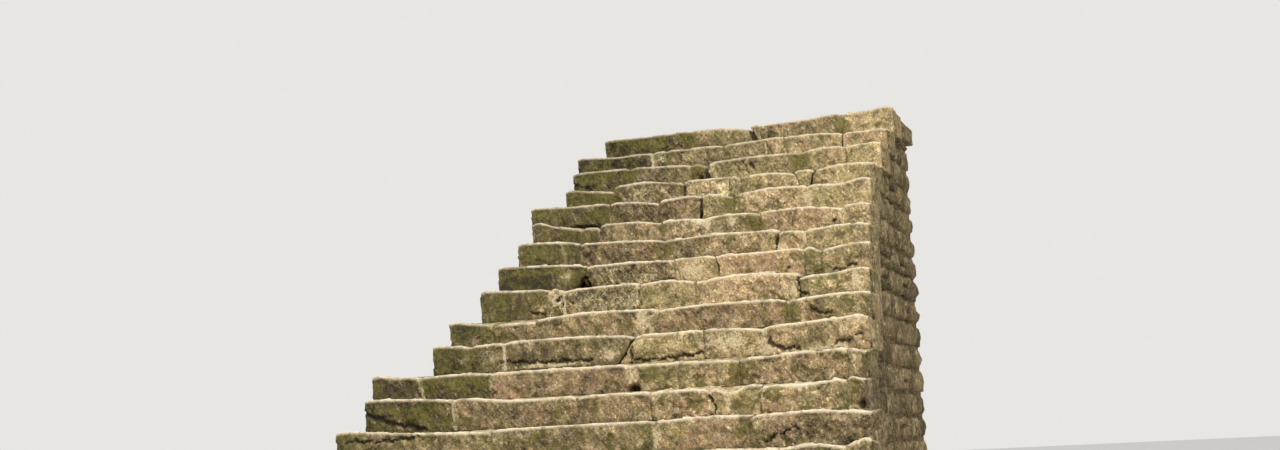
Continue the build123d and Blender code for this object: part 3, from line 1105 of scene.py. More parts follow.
def mark_riser(number, points, base, front, markings):
    """Adds a row's stains, dents and cracks to the points of one of its stones."""
    on_riser = (points[:, 1] < front + FACE_ZONE).astype(float)
    x, up = points[:, 0], points[:, 2] - base
    for mark in MARKS.get(number, ()):
        if isinstance(mark, Crack):
            corners = [(across * MM, height * MM) for across, height in mark.points]
            width = mark.width * MM * crack_width(x, up)
            share = bell(distance_to_line(x, up, corners) / width) * on_riser
            points[:, 1] += CRACK_DEPTH * share
            # The crack is painted dark: painted shade in it
            darken(markings, share)
            continue
        across = (x - mark.across * MM) / (mark.half_width * MM)
        height = (up - mark.up * MM) / (mark.half_height * MM)
        away = MARK_REACH * np.hypot(across, height)
        if isinstance(mark, Stain):
            share = bell(away * ragged(x, up)) * on_riser
            markings[mark.kind] = markings[mark.kind] + mark.amount * share
        else:
            share = np.clip(bell(away) * DENT_FLOOR, 0, 1) * on_riser
            points[:, 1] += mark.depth * MM * share
            # The dent is painted dark inside its sharp edge: painted shade
            slope, start = DENT_SHADE
            darken(markings, np.clip(slope * share - start, 0, 1))


FADE = 220 * MM  # length over which a leaning joint's end straightens
WAVER = 7  # how far a joint strays from a straight line, in millimetres
STRAYS_AT = (0.3, 0.65)  # shares of its height at which it does
JOINT_SEED = 100  # a joint's seed is its row's number times this, plus its own number
CORNER_REACH = 50 * MM  # length of the worn corner beside a joint
FACE_REACH = 100 * MM  # how deep into a stone its corner's setting back reaches
UPPER_PART = (0.6, 1.0)  # shares of the rise between which the wear of a corner grows

# The corners beside each kind of joint: share of the arris, and how much lower and further
# back they are than in the CAD, in millimetres
Corner = namedtuple("Corner", "arris lower back")
CORNERS = {
    "mortar": Corner(0.6, 0, -3),
    "tight": Corner(0.4, -4, -5),
    "earth": Corner(1.0, 4, -1),
    "moss": Corner(1.0, 3, -2),
    "open": Corner(1.0, 6, 0),
}


def joint_kind(number, joint):
    """What fills the joint of a row, counted from the left. A row's outer ends count as open."""
    kinds = ["open", *ROW_JOINTS[number].split(), "open"]
    return kinds[joint]


def joint_shift(number, joint, up):
    """How far a joint lies to the right of its place, from its foot, 0, up to its top, 1."""
    dice = random.Random(JOINT_SEED * number + joint)
    strayed = (dice.uniform(-WAVER, WAVER), dice.uniform(-WAVER, WAVER))
    top, foot = LEANS.get((number, joint), strayed)
    shifts = [foot + (top - foot) * share + dice.uniform(-WAVER, WAVER) for share in STRAYS_AT]
    return smooth_between(np.array([0.0, *STRAYS_AT, 1.0]), np.array([foot, *shifts, top]), up) * MM


def wear_corner(points, kind, front, up, worn):
    """Lowers and sets back the corner of a stone or of a filling beside that kind of joint."""
    corner = CORNERS[kind]
    near_face = fading(points[:, 1] - front, FACE_REACH)
    low, high = UPPER_PART
    points[:, 2] -= corner.lower * MM * worn * np.clip((up - low) / (high - low), 0, 1)
    points[:, 1] += corner.back * MM * worn * near_face


def lean_ends(stone, number, place, count, points):
    """Shifts the ends of a stone so that its joints lean and open as the real ones do."""
    up = np.clip((points[:, 2] - stone.base) / RISE, 0, 1)
    fade = min(FADE, stone.end - stone.start)
    for joint, end, side in ((place, stone.start, 1), (place + 1, stone.end, -1)):
        near = fading(np.abs(points[:, 0] - end), fade)
        if 0 < joint < count:
            points[:, 0] += near * joint_shift(number, joint, up)
            worn = fading(np.abs(points[:, 0] - end), CORNER_REACH) ** 2
            wear_corner(points, joint_kind(number, joint), stone.front, up, worn)
        if (number, joint) in HOLES:
            half_width, height = HOLES[number, joint]
            low = np.sqrt(fading(points[:, 2] - stone.base, height * MM))
            points[:, 0] += side * near * low * half_width * MM


# How the edge's wear goes along the ring, and up the flight. On the rounded nosing the pale worn stone
# is also a painted highlight, where the edge catches the light from above.
WEAR_AND_HIGHLIGHT_SPOTS = (EDGE, EDGE + 0.30, EDGE + 1.0, TREAD_FRONT + 0.25, TREAD_BACK, STRIP)
WEAR_AND_HIGHLIGHT_LEVELS = (0.0, 1.0, 1.0, 0.32, 0.20, 0.0)
WEAR_AND_HIGHLIGHT_ROWS = (12, 18)  # the wear and its painted highlight are full up to the first of these rows and fade to the second
WEAR_AND_HIGHLIGHT_AT_TOP = 0.70
DIRT_SPOTS = (TREAD_BACK, STRIP, STRIP + 0.5, BACK)
DIRT_LEVELS = (0.0, 0.7, 1.0, 0.0)
DIRT_BEFORE_LANDING = 0.25  # the top row has no row behind it that keeps the dirt
SHOWN = {BACK: 0.0, UNDERSIDE: 0.0, STRIP: 0.3, EDGE: 0.55}  # share of the relief where it isn't full
FOOT_REACH = 0.16  # how far up a riser its darker foot reaches, as a share of the rise: damp, and painted shade where it meets the tread
DAMP_AND_SHADE_REACH = 0.85  # how far the damp and the painted shade of the left side reach along a row, in metres
BLEACHED_AND_LIT = (-0.3, 0.7)  # none left of the first of these places across and all right of the second
BLEACHED_AND_LIT_ROWS = (5, 12)  # none below the first of these rows and all of it from the second

# What the places on a stone add to its markings. The left side of a row is darker, partly damp and
# partly painted shade, and its right side higher up the flight is lighter, partly bleached and partly
# painted light.
ADDED = {
    "tone": {"tread": 0.12, "damp_and_shade": -0.20, "bleached_and_lit": 0.22},
    "moss": {"damp_and_shade": 0.24, "foot": 0.16, "dirt": 0.30},
    # The grime at a riser's foot is partly painted shade where the riser meets the tread below
    "grime": {"damp_and_shade": 0.26, "foot": 0.35, "dirt": 0.30},
}

# What runs out of each kind of joint over the ends of its stones, and how far
Spread = namedtuple("Spread", "marking amount reach")
SPREADS = {
    "mortar": Spread("mortar", 0.50, 34 * MM),
    "tight": Spread("mortar", 0.20, 60 * MM),
    "earth": Spread("grime", 0.15, 30 * MM),
    "moss": Spread("moss", 0.55, 90 * MM),
    # Beside an open joint, the grime on the stones' ends is partly painted shade in the hole
    "open": Spread("grime", 0.40, 22 * MM),
}


def spread_fillings(number, place, count, stone, points, markings):
    """Lets the mortar, moss and earth of a stone's two joints run out over its ends."""
    for joint, end in ((place, stone.start), (place + 1, stone.end)):
        if 0 < joint < count:
            spread = SPREADS[joint_kind(number, joint)]
            near = bell((points[:, 0] - end) / spread.reach)
            markings[spread.marking] = markings[spread.marking] + spread.amount * near


def finish_of(number, place):
    """The markings that all points of a step stone share."""
    word = ROW_FINISHES[number].split()[place]
    finish = FINISHES[word.rstrip("+-")]
    lighter = word.count("+") - word.count("-")
    return {**dict.fromkeys(MARKINGS, 0.0), **finish._asdict(),
            "tone": finish.tone + TONE_STEP * lighter, "stone": number + place / 10}


def places_on(number, stone, row_start, points, spot):
    """How much each point of a step stone lies in the places that ADDED names."""
    zone = np.floor(spot)
    first, full = BLEACHED_AND_LIT_ROWS
    start, end = BLEACHED_AND_LIT
    across = np.clip((points[:, 0] - start) / (end - start), 0, 1)
    dirt = np.interp(spot, DIRT_SPOTS, DIRT_LEVELS)
    return {
        "tread": np.isin(zone, (TREAD_FRONT, TREAD_BACK, STRIP)).astype(float),
        "damp_and_shade": fading(points[:, 0] - row_start, DAMP_AND_SHADE_REACH),
        "foot": fading((points[:, 2] - stone.base) / RISE, FOOT_REACH) * (zone == RISER),
        "dirt": dirt * (DIRT_BEFORE_LANDING if number == len(ROW_NAMES) else 1.0),
        "bleached_and_lit": across * np.clip((number - first) / (full - first), 0, 1),
    }


OUTER_ROUNDS, JOINT_ROUNDS = 12, 3  # rounds of faces on an end that shows and in a joint


def dress_stone(heap, number, place, count, stone, row_start, settings):
    """Adds one step stone to its row's heap."""
    x = columns(stone.start, stone.end, settings.spacing, settings.arris)
    rings, spots = step_rings(stone, x, settings.spacing)
    shares = [CORNERS[joint_kind(number, joint)].arris for joint in (place, place + 1)]
    arris = settings.arris * np.where(x - stone.start < stone.end - x, *shares)
    rings = shrink_rings(rings, arris * drawn_in(x, stone.start, stone.end, settings.arris))
    rounds = [OUTER_ROUNDS if outer else JOINT_ROUNDS for outer in (place == 0, place == count - 1)]
    points, quads, triangles = closed_loft(x, rings, rounds)
    spot = spread_spots(spots, x, points)
    markings = finish_of(number, place)
    places = places_on(number, stone, row_start, points, spot)
    for label, shares in ADDED.items():
        for where, share in shares.items():
            markings[label] = markings[label] + share * places[where]
    wear_and_highlight_here = np.interp(number, WEAR_AND_HIGHLIGHT_ROWS, (1.0, WEAR_AND_HIGHLIGHT_AT_TOP))
    markings["wear"] = np.interp(spot, WEAR_AND_HIGHLIGHT_SPOTS, WEAR_AND_HIGHLIGHT_LEVELS) * wear_and_highlight_here
    markings["show"] = np.array([SHOWN.get(zone, 1.0) for zone in np.floor(spot)])
    spread_fillings(number, place, count, stone, points, markings)
    lean_ends(stone, number, place, count, points)
    mark_riser(number, points, stone.base, stone.front, markings)
    heap.add(points, quads, triangles, markings)


class DressRows(bpy.types.Operator):
    """Dress the stones of every row of the flight"""

    bl_idname = "flight.dress_rows"
    bl_label = "Dress rows"

    def execute(self, context):
        settings = context.scene.flight_dressing
        for number, name in enumerate(ROW_NAMES, start=1):
            stones = stones_of(name)
            heap = Heap()
            for place, stone in enumerate(stones):
                dress_stone(heap, number, place, len(stones), stone, stones[0].start, settings)
            row = heap.piece(f"hewn_row_{number:02d}")
            roughen(row, Seed=settings.seed, Swell_Depth=settings.swell, Facet_Slope=settings.facet,
                    Rough_Depth=settings.rough, Pit_Depth=settings.pit)
            hand_over(row, name)
        return {"FINISHED"}


# What fills a joint: how far it lies behind the stones' worn ends, in millimetres, and its markings
Filling = namedtuple("Filling", "recess tone moss mortar grime")
FILLINGS = {
    "mortar": Filling(2, 0.0, 0.1, 0.90, 0.0),
    "tight": Filling(3, -0.05, 0.15, 0.2, 0.25),
    "earth": Filling(6, -0.15, 0.15, 0.0, 0.45),
    "moss": Filling(5, -0.15, 0.70, 0.0, 0.30),
    # An open joint's filling, far back in the hole, is near black: dark earth, and painted shade over
    # it
    "open": Filling(90, -0.5, 0.1, 0.0, 1.4),
}
FILLING_REACH = 12 * MM  # half the width of a filling, which is let into both stones
FILLING_SECTIONS = 4
FILLING_SPACING = 14 * MM
FILLING_ROUNDS = (1, 1)
FILLING_LICHEN = 0.2


def fill_joint(heap, number, joint, left, right):
    """Adds the filling of one joint, between the worn ends of two neighbours, to the heap."""
    kind = joint_kind(number, joint)
    filling = FILLINGS[kind]
    middle = (left.end + right.start) / 2
    body = Section(left.base, left.back, [middle - FILLING_REACH, middle + FILLING_REACH],
                   np.repeat((left.corners[-1:] + right.corners[:1]) / 2, 2, axis=0))
    x = np.linspace(body.start, body.end, FILLING_SECTIONS)
    rings, spots = step_rings(body, x, FILLING_SPACING)
    rings = shrink_rings(rings, np.full(len(x), filling.recess * MM))
    points, quads, triangles = closed_loft(x, rings, FILLING_ROUNDS)
    up = np.clip((points[:, 2] - body.base) / RISE, 0, 1)
    points[:, 0] += joint_shift(number, joint, up)
    wear_corner(points, kind, body.front, up, 1.0)
    zone = np.floor(spread_spots(spots, x, points))
    markings = {
        **dict.fromkeys(MARKINGS, 0.0), "tone": filling.tone, "moss": filling.moss,
        "mortar": filling.mortar, "grime": filling.grime, "lichen": FILLING_LICHEN,
        "relief": 1.0, "stone": number + joint / 10,
        "show": np.where(np.isin(zone, (BACK, UNDERSIDE, IN_CAP)), 0.0, 1.0)}
    mark_riser(number, points, body.base, body.front + filling.recess * MM, markings)
    heap.add(points, quads, triangles, markings)


class FillJoints(bpy.types.Operator):
    """Fill the joints between step stones with mortar, earth and moss"""

    bl_idname = "flight.fill_joints"
    bl_label = "Fill joints"

    def execute(self, context):
        heap = Heap()
        for number, name in enumerate(ROW_NAMES, start=1):
            stones = stones_of(name)
            for joint, (left, right) in enumerate(zip(stones, stones[1:]), start=1):
                fill_joint(heap, number, joint, left, right)
        piece = heap.piece("joint_fillings")
        roughen(piece)
        hand_over(piece)
        return {"FINISHED"}


SLAB_SPACING = 1.6  # a slab's points lie this many times as far apart as a step stone's
SLAB_ARRIS = 2  # its worn corners are this many times as round
SLAB_WEAR = 14 * MM  # how far its upper edges are worn back
SLAB_EDGE_POINTS, SLAB_UNDERSIDE_POINTS = 4, 6
LEAST_UPRIGHT, LEAST_ACROSS = 4, 8  # points up and across a slab at least
SLAB_ROUNDS = 8
SLAB_UNDERSIDE = 5  # its zone
SLAB_FINISHES = ("mossy", "clean", "pale")
SLAB_NUMBER = 19  # the slabs' own numbers follow those of the rows
TOP_REACH = 3 * MM  # what lies nearer to a slab's top than this is worn
TOP_WEAR = 0.3


def slab_rings(low, high, x, spacing):
    """Rings round a paving slab with worn upper edges at the places x, and their spots."""
    front, back, top = low.y, high.y, high.z
    corners = [
        (front, low.z), (front, top - SLAB_WEAR), (front + SLAB_WEAR, top),
        (back - SLAB_WEAR, top), (back, top - SLAB_WEAR), (back, low.z)]
    ends = [np.tile(corner, (len(x), 1)) for corner in corners]
    front_corner, back_corner = (np.tile((y, top), (len(x), 1)) for y in (front, back))
    upright = max(LEAST_UPRIGHT, round((top - low.z) / spacing))
    across = max(LEAST_ACROSS, round((back - front) / spacing))
    return join_parts([
        line(ends[0], ends[1], upright),
        rounded(ends[1], front_corner, ends[2], SLAB_EDGE_POINTS),
        line(ends[2], ends[3], across),
        rounded(ends[3], back_corner, ends[4], SLAB_EDGE_POINTS),
        line(ends[4], ends[5], upright),
        line(ends[5], ends[0], SLAB_UNDERSIDE_POINTS),
    ])


def dress_slab(heap, place, corners, settings):
    """Adds one paving slab to the landing's heap."""
    low, high = Vector(corners.min(0)), Vector(corners.max(0))
    spacing, arris = SLAB_SPACING * settings.spacing, SLAB_ARRIS * settings.arris
    x = columns(low.x, high.x, spacing, arris)
    rings, spots = slab_rings(low, high, x, spacing)
    rings = shrink_rings(rings, arris * drawn_in(x, low.x, high.x, arris))
    points, quads, triangles = closed_loft(x, rings, (SLAB_ROUNDS, SLAB_ROUNDS))
    zone = np.floor(spread_spots(spots, x, points))
    heap.add(points, quads, triangles, {
        **FINISHES[SLAB_FINISHES[place]]._asdict(), "stone": SLAB_NUMBER + place / 10,
        "wear": TOP_WEAR * (points[:, 2] > high.z - TOP_REACH),
        "show": np.where(zone == SLAB_UNDERSIDE, 0.0, 1.0)})


class DressLanding(bpy.types.Operator):
    """Dress the paving slabs of the landing"""

    bl_idname = "flight.dress_landing"
    bl_label = "Dress landing"

    def execute(self, context):
        settings = context.scene.flight_dressing
        heap = Heap()
        for place, corners in enumerate(loose_parts("landing")):
            dress_slab(heap, place, corners, settings)
        piece = heap.piece("landing_paving")
        roughen(piece, Seed=settings.seed)
        hand_over(piece, "landing")
        return {"FINISHED"}


# A cube from -1 to 1 with these points is rounded and then halved
BLOCK_SIZE = (2.0, 2.0, 2.0)
BLOCK_POINTS = {"Vertices X": 7, "Vertices Y": 3, "Vertices Z": 5}


def rubble_tree(name):
    """Geometry Nodes tree that sets a rounded block of stone on each point.

    A point's size, turn and markings go to its block.
    """
    tree, nodes = new_tree(name, [
        ("Squareness", "NodeSocketFloat", 6.0), ("Material", "NodeSocketMaterial", None)])
    given = nodes.add("NodeGroupInput").outputs
    cube = nodes.add("GeometryNodeMeshCube", {"Size": BLOCK_SIZE, **BLOCK_POINTS})
    place = nodes.add("GeometryNodeInputPosition").outputs["Position"]
    parts = nodes.add("ShaderNodeSeparateXYZ", {0: nodes.vector("ABSOLUTE", place)}).outputs
    total = nodes.plus(*(nodes.math("POWER", part, given["Squareness"]) for part in parts))
    share = nodes.math("POWER", total, nodes.math("DIVIDE", -1.0, given["Squareness"]))
    block = nodes.add("GeometryNodeSetPosition", {
        "Geometry": cube.outputs["Mesh"], "Position": nodes.scaled(place, nodes.times(share, 0.5))})
    block = nodes.add("GeometryNodeSetShadeSmooth", {"Geometry": block.outputs[0]})
    turn = nodes.add("FunctionNodeEulerToRotation", {0: point_value(nodes, "turn", "FLOAT_VECTOR")})
    blocks = nodes.add("GeometryNodeInstanceOnPoints", {
        "Points": given["Geometry"], "Instance": block.outputs[0],
        "Rotation": turn.outputs[0], "Scale": point_value(nodes, "size", "FLOAT_VECTOR")})
    nodes.add("NodeGroupOutput", {0: painted(nodes, blocks.outputs[0], given["Material"])})
    return tree


Block = namedtuple("Block", "centre size turn")
LEAST_RUN = 1.4  # what is shorter than this many of the shortest stones is one stone
PROUD = 4  # how far a stone stands out or lies back, in millimetres
TURNS = (0.02, 0.025)  # how far it leans sideways and out, in radians
SPLIT = 0.22  # share of the stones that are two thin ones
SPLIT_AT = (0.4, 0.6)  # share of the height at which they meet
SPLIT_HEIGHT = 0.12  # no lower course has them, in metres


def runs(start, end, bends, settings, dice):
    """Splits a course into stones of random lengths that end at its bends: (start, end) of each."""
    length = end - start
    if length < LEAST_RUN * settings.shortest:
        return [(start, end)]
    wanted = []
    while sum(wanted) < length:
        wanted.append(dice.uniform(settings.shortest, settings.longest))
    cuts = start + np.concatenate([[0.0], np.cumsum(wanted)]) * length / sum(wanted)
    for bend in bends:
        nearest = np.abs(cuts[1:-1] - bend).argmin() + 1 if len(cuts) > 2 else 0
        if start < bend < end and nearest:
            cuts[nearest] = bend
    return list(zip(cuts, cuts[1:]))


def course_blocks(face, start, end, bends, low, high, settings, dice):
    """Blocks of one course along a wall's face. Some are two thin stones, one on the other."""
    blocks = []
    for near, far in runs(start, end, bends, settings, dice):
        first, last = face(near), face(far)
        along = (last - first).normalized()
        inwards = Vector((-along.y, along.x, 0.0))
        proud = dice.uniform(-PROUD, PROUD) * MM
        levels = [low, high]
        if dice.random() < SPLIT and high - low > SPLIT_HEIGHT:
            levels.insert(1, low + (high - low) * dice.uniform(*SPLIT_AT))
        for bottom, top in zip(levels, levels[1:]):
            centre = (first + last) / 2 + inwards * (settings.stone_depth / 2 - proud)
            centre.z = (bottom + top) / 2
            size = ((last - first).length - settings.joint, settings.stone_depth,
                    top - bottom - settings.joint)
            leans = [dice.uniform(-most, most) for most in TURNS]
            blocks.append(Block(centre, size, (*leans, math.atan2(along.y, along.x))))
    return blocks


RUBBLE_FINISHES = ("clean", "brown", "rough", "speckled", "mossy", "dark", "pale")
RUBBLE_TONE = 0.2  # how much lighter or darker than its finish a block is
RUBBLE_MOSS = (0.8, 0.35)  # share of the finish's moss, and what is added at the ground
RUBBLE_GRIME = 0.1
RUBBLE_RELIEF = (0.6, 0.5)  # its least, and share of the finish's relief
RUBBLE_FACET = 0.2  # slope of the facets on rubble
RUBBLE_NUMBER = 20  # the blocks' own numbers follow those of the slabs


def rubble_markings(place, kind, block, dice):
    """The markings of one block of that kind."""
    share, at_ground = RUBBLE_MOSS
    least, relief_share = RUBBLE_RELIEF
    return {
        **dict.fromkeys(MARKINGS, 0.0), **kind._asdict(),
        "tone": kind.tone + dice.uniform(-RUBBLE_TONE, RUBBLE_TONE),
        "moss": kind.moss * share + at_ground * max(0.0, 1 - block.centre.z) ** 2,
        "grime": kind.grime + RUBBLE_GRIME, "relief": least + relief_share * kind.relief,
        "show": 1.0, "stone": RUBBLE_NUMBER + place / 10}


def lay_rubble(name, node, blocks, settings, dice):
    """The rubble blocks of a wall on their mortar, as one piece that stands for its CAD node."""
    mesh = bpy.data.meshes.new(name)
    mesh.from_pydata([block.centre[:] for block in blocks], [], [])
    store(mesh, "size", [block.size for block in blocks], "FLOAT_VECTOR")
    store(mesh, "turn", [block.turn for block in blocks], "FLOAT_VECTOR")
    kinds = [FINISHES[dice.choice(RUBBLE_FINISHES)] for _ in blocks]
    stones = [rubble_markings(place, kind, block, dice)
              for place, (kind, block) in enumerate(zip(kinds, blocks))]
    for label in MARKINGS:
        store(mesh, label, [stone[label] for stone in stones])
    piece = place_in_scene(name, mesh)
    grow(piece, once(bpy.data.node_groups, "Rubble blocks", rubble_tree), Material=stone_material())
    roughen(piece, Seed=settings.seed, Facet_Slope=RUBBLE_FACET)
    join_bed(piece, node, settings)
    hand_over(piece, node)


# How much of the mortar's depth is taken off a wall's solid across, along and up the flight:
# the mortar is as high as the wall, and the back wall's reaches into that of the side walls.
SIDE_BED = (1.0, 1.0, 0.0)
BACK_BED = (-1.5, 1.0, 0.0)
CORNER_BED = 2.2  # how many times deeper it lies at the outer corners behind the landing
CORNER_TURN = 0.3  # a corner's normal points at least this far out and back


def join_bed(piece, node, settings):
    """Adds the mortar behind the blocks: the wall's own solid with its faces set back."""
    shape = merged_node(node)
    bmesh.ops.recalc_face_normals(shape, faces=shape.faces)
    shape.normal_update()
    side = node != "back_wall"
    shares = Vector(SIDE_BED if side else BACK_BED)
    moves = []
    for point in shape.verts:
        depth = settings.bed_depth * point.calc_shell_factor()
        if side and min(point.normal.y, point.normal.x * point.co.x) > CORNER_TURN:
            depth *= CORNER_BED
        moves.append(point.normal * shares * depth)
    for point, move in zip(shape.verts, moves):
        point.co -= move
    for face in shape.faces:
        face.material_index = 1
        face.smooth = False
    bed = bpy.data.meshes.new("bed")
    shape.to_mesh(bed)
    shape.clear()
    shape.from_mesh(piece.data)
    shape.from_mesh(bed)
    shape.to_mesh(piece.data)
    shape.free()
    bpy.data.meshes.remove(bed)
    piece.data.materials.append(once(bpy.data.materials, "wall_mortar", lime_mortar))


# Noises in the mortar by scale, detail and roughness, and the coats that they lead on dark sand
MORTAR_NOISES = {"sand": (160.0, 4.0, 0.7), "stains": (7.0, 5.0, 0.6), "growth": (4.0, 5.0, 0.6)}
MORTAR_COATS = (
    ("sand", 0.35, 0.65, "mortar", 1.0),
    ("stains", 0.42, 0.68, "earth", 1.0),
    ("growth", 0.5, 0.7, "old_moss", 0.7),
)
DARK_SAND = 0.55


def lime_mortar(name):
    """Lime mortar with sand in it, weathered and partly mossy."""
    material, nodes = empty_material(name)
    place = nodes.add("ShaderNodeTexCoord").outputs["Object"]
    noises = {label: nodes.noise(place, *noise) for label, noise in MORTAR_NOISES.items()}
    dark = colour(bpy.context.scene.flight_colours.mortar, DARK_SAND)
    tint = coats_over(nodes, dark, noises, MORTAR_COATS)
    end_material(nodes, tint, noises["sand"], strength=0.8, depth=0.006, roughness=0.95, specular=0.2)
    return material


class Courses:
    """Heights of the rubble's courses, one to each step, and where each starts up the flight."""

    def __init__(self):
        boxes = [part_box(name) for name in ROW_NAMES]
        floors = [box[0].z for box in boxes]
        self.levels = list(zip(floors, [*floors[1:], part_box("landing")[0].z]))
        self.starts = [box[1].y for box in boxes]
        self.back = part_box("back_wall")[1].y


def wall_face(node, side):
    """The outer face of a side wall in plan: a function from y to the point, and the bends' y."""
    points = np.array([point.co[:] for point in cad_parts[node].data.vertices])
    foot = points[points[:, 2] < MM]
    foot = foot[foot[:, 1].argsort()]
    breaks = np.nonzero(np.diff(foot[:, 1]) > MM)[0] + 1
    groups = np.split(foot, breaks)
    line_y = [here[:, 1].mean() for here in groups]
    line_x = [side * (side * here[:, 0]).max() for here in groups]

    def face(y):
        return Vector((float(np.interp(y, line_y, line_x)), y, 0.0))

    return face, line_y[1:-1]


QUOINS = ((0.24, 0.42), (0.40, 0.25))  # sizes across and along the flight of alternating quoins
BACK_SEED = 5  # added to the walling's seed


def lay_side_wall(node, side, courses, settings):
    """Lays the courses of one side wall, each with a quoin at the back corner."""
    dice = random.Random(settings.seed + side)
    face, bends = wall_face(node, side)

    def mirrored(run):
        return face(-run)

    blocks = []
    for place, (low, high) in enumerate(courses.levels):
        across, along = QUOINS[place % 2]
        start, end = courses.starts[place], courses.back - along
        centre = Vector((face(courses.back).x - side * across / 2, courses.back - along / 2,
                         (low + high) / 2))
        size = (across - settings.joint, along - settings.joint, high - low - settings.joint)
        blocks.append(Block(centre, size, (0.0, 0.0, 0.0)))
        # The blocks run up the right wall and down the left one, so inwards is to their left
        run = (face, start, end, bends)
        if side < 0:
            run = (mirrored, -end, -start, [-bend for bend in bends])
        blocks += course_blocks(*run, low, high, settings, dice)
    lay_rubble(node.replace("side_wall", "rubble_wall"), node, blocks, settings, dice)


class LaySideWalls(bpy.types.Operator):
    """Lay the rubble of the two side walls"""

    bl_idname = "flight.lay_side_walls"
    bl_label = "Lay side walls"

    def execute(self, context):
        courses = Courses()
        for node, side in (("left_side_wall", -1), ("right_side_wall", 1)):
            lay_side_wall(node, side, courses, context.scene.flight_walling)
        return {"FINISHED"}


class LayBackWall(bpy.types.Operator):
    """Lay the rubble of the wall behind the landing"""

    bl_idname = "flight.lay_back_wall"
    bl_label = "Lay back wall"

    def execute(self, context):
        settings = context.scene.flight_walling
        dice = random.Random(settings.seed + BACK_SEED)
        courses = Courses()
        left = wall_face("left_side_wall", -1)[0](courses.back).x
        right = wall_face("right_side_wall", 1)[0](courses.back).x

        def face(run):
            return Vector((-run, courses.back, 0.0))

        blocks = []
        for place, (low, high) in enumerate(courses.levels):
            across = QUOINS[place % 2][0]
            blocks += course_blocks(face, across - right, -left - across, (), low, high, settings, dice)
        lay_rubble("back_rubble_wall", "back_wall", blocks, settings, dice)
        return {"FINISHED"}


CRUMBS = (55.0, 6.0, 0.7)  # scale, detail and roughness
PEBBLE_SCALE = 22.0
BARE = 0.6  # share of the cells without a pebble
DARK_EARTH = 0.5


def packed_earth(name):
    """Earth with small stones in it."""
    material, nodes = empty_material(name)
    palette = bpy.context.scene.flight_colours
    place = nodes.add("ShaderNodeTexCoord").outputs["Object"]
    crumbs = nodes.noise(place, *CRUMBS)
    pebbles = nodes.cells(place, PEBBLE_SCALE)
    chosen = nodes.math("GREATER_THAN", nodes.first_part(pebbles["Color"]), BARE)
    coats = (
        ("crumbs", 0.35, 0.65, "earth", 1.0),
        ("pebbles", 0.4, 0.3, "stone", chosen),
    )
    leads = {"crumbs": crumbs, "pebbles": pebbles["Distance"]}
    tint = coats_over(nodes, colour(palette.earth, DARK_EARTH), leads, coats)
    end_material(nodes, tint, crumbs, strength=0.9, depth=0.02, roughness=0.95, specular=0.2)
    return material


class FinishCore(bpy.types.Operator):
    """Give the fill under the rows its earth and rubble finish"""

    bl_idname = "flight.finish_core"
    bl_label = "Finish core"

    def execute(self, context):
        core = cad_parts["core_fill"]
        core.data.materials.clear()
        core.data.materials.append(once(bpy.data.materials, "packed_earth", packed_earth))
        return {"FINISHED"}


def seen_directly(nodes):
    """1 on what the camera sees itself, or in a polished or clear surface."""
    path = nodes.add("ShaderNodeLightPath")
    direct = nodes.math("MAXIMUM", path.outputs["Is Camera Ray"], path.outputs["Is Glossy Ray"])
    return nodes.math("MAXIMUM", direct, path.outputs["Is Transmission Ray"])


FLOOR_HALF = 60.0  # half of its side, in metres
FLOOR_SHADE = 0.97  # its darker patches against its colour
FLOOR_PATCHES = 3.0  # scale of their noise
FLOOR_ROUGHNESS = 0.9


def floor_under(settings):
    """A pale floor. It keeps the object's shadow, and looks nearly as pale far from the lamps."""
    material = bpy.data.materials.new("pale_floor")
    material.use_nodes = True
    own = material.node_tree.nodes
    nodes = NodeMaker(material.node_tree)
    patches = nodes.noise(nodes.add("ShaderNodeTexCoord").outputs["Object"], FLOOR_PATCHES)
    shader = own["Principled BSDF"]
    tint = nodes.mix(patches, colour(settings.floor, FLOOR_SHADE), colour(settings.floor))
    nodes.feed(shader.inputs["Base Color"], tint)
    shader.inputs["Roughness"].default_value = FLOOR_ROUGHNESS
    glow = nodes.add("ShaderNodeEmission", {"Color": colour(settings.backdrop), "Strength": 1.0})
    share = nodes.times(seen_directly(nodes), settings.floor_glow)
    both = nodes.add("ShaderNodeMixShader", {0: share, 1: shader.outputs[0], 2: glow.outputs[0]})
    nodes.feed(own["Material Output"].inputs["Surface"], both.outputs[0])
    corners = [(x * FLOOR_HALF, y * FLOOR_HALF, 0) for x, y in ((-1, -1), (1, -1), (1, 1), (-1, 1))]
    mesh = bpy.data.meshes.new("floor")
    mesh.from_pydata(corners, [], [(0, 1, 2, 3)])
    mesh.materials.append(material)
    place_in_scene("floor", mesh)


SKY_COLOUR = (1.0, 0.99, 0.96, 1.0)
AIM = (0.0, 0.0, 1.5)  # where the lamps point
OVERHEAD = (7.0, (1.8, -6.0, 10.0))  # a lamp's diameter and place
FRONT = (5.0, (4.0, -11.0, 5.0))


def broad_lamp(name, power, size, place):
    """A round lamp at that place, which points at the flight."""
    lamp = bpy.data.lights.new(name, "AREA")
    lamp.energy = power
    lamp.shape = "DISK"
    lamp.size = size
    holder = place_in_scene(name, lamp)
    holder.location = place
    holder.rotation_euler = (Vector(AIM) - Vector(place)).to_track_quat("-Z", "Y").to_euler()


def light_up(settings):
    """Even light from all round, one broad lamp overhead and a weaker one in front."""
    world = bpy.data.worlds.new("studio")
    world.use_nodes = True
    own = world.node_tree.nodes
    nodes = NodeMaker(world.node_tree)
    even = own["Background"]
    even.inputs["Color"].default_value = SKY_COLOUR
    even.inputs["Strength"].default_value = settings.sky_level
    seen = nodes.add("ShaderNodeBackground", {"Color": colour(settings.backdrop), "Strength": 1.0})
    both = nodes.add("ShaderNodeMixShader", {
        0: seen_directly(nodes), 1: even.outputs[0], 2: seen.outputs[0]})
    nodes.feed(own["World Output"].inputs["Surface"], both.outputs[0])
    bpy.context.scene.world = world
    broad_lamp("overhead", settings.lamp_power, *OVERHEAD)
    broad_lamp("front", settings.fill_power, *FRONT)


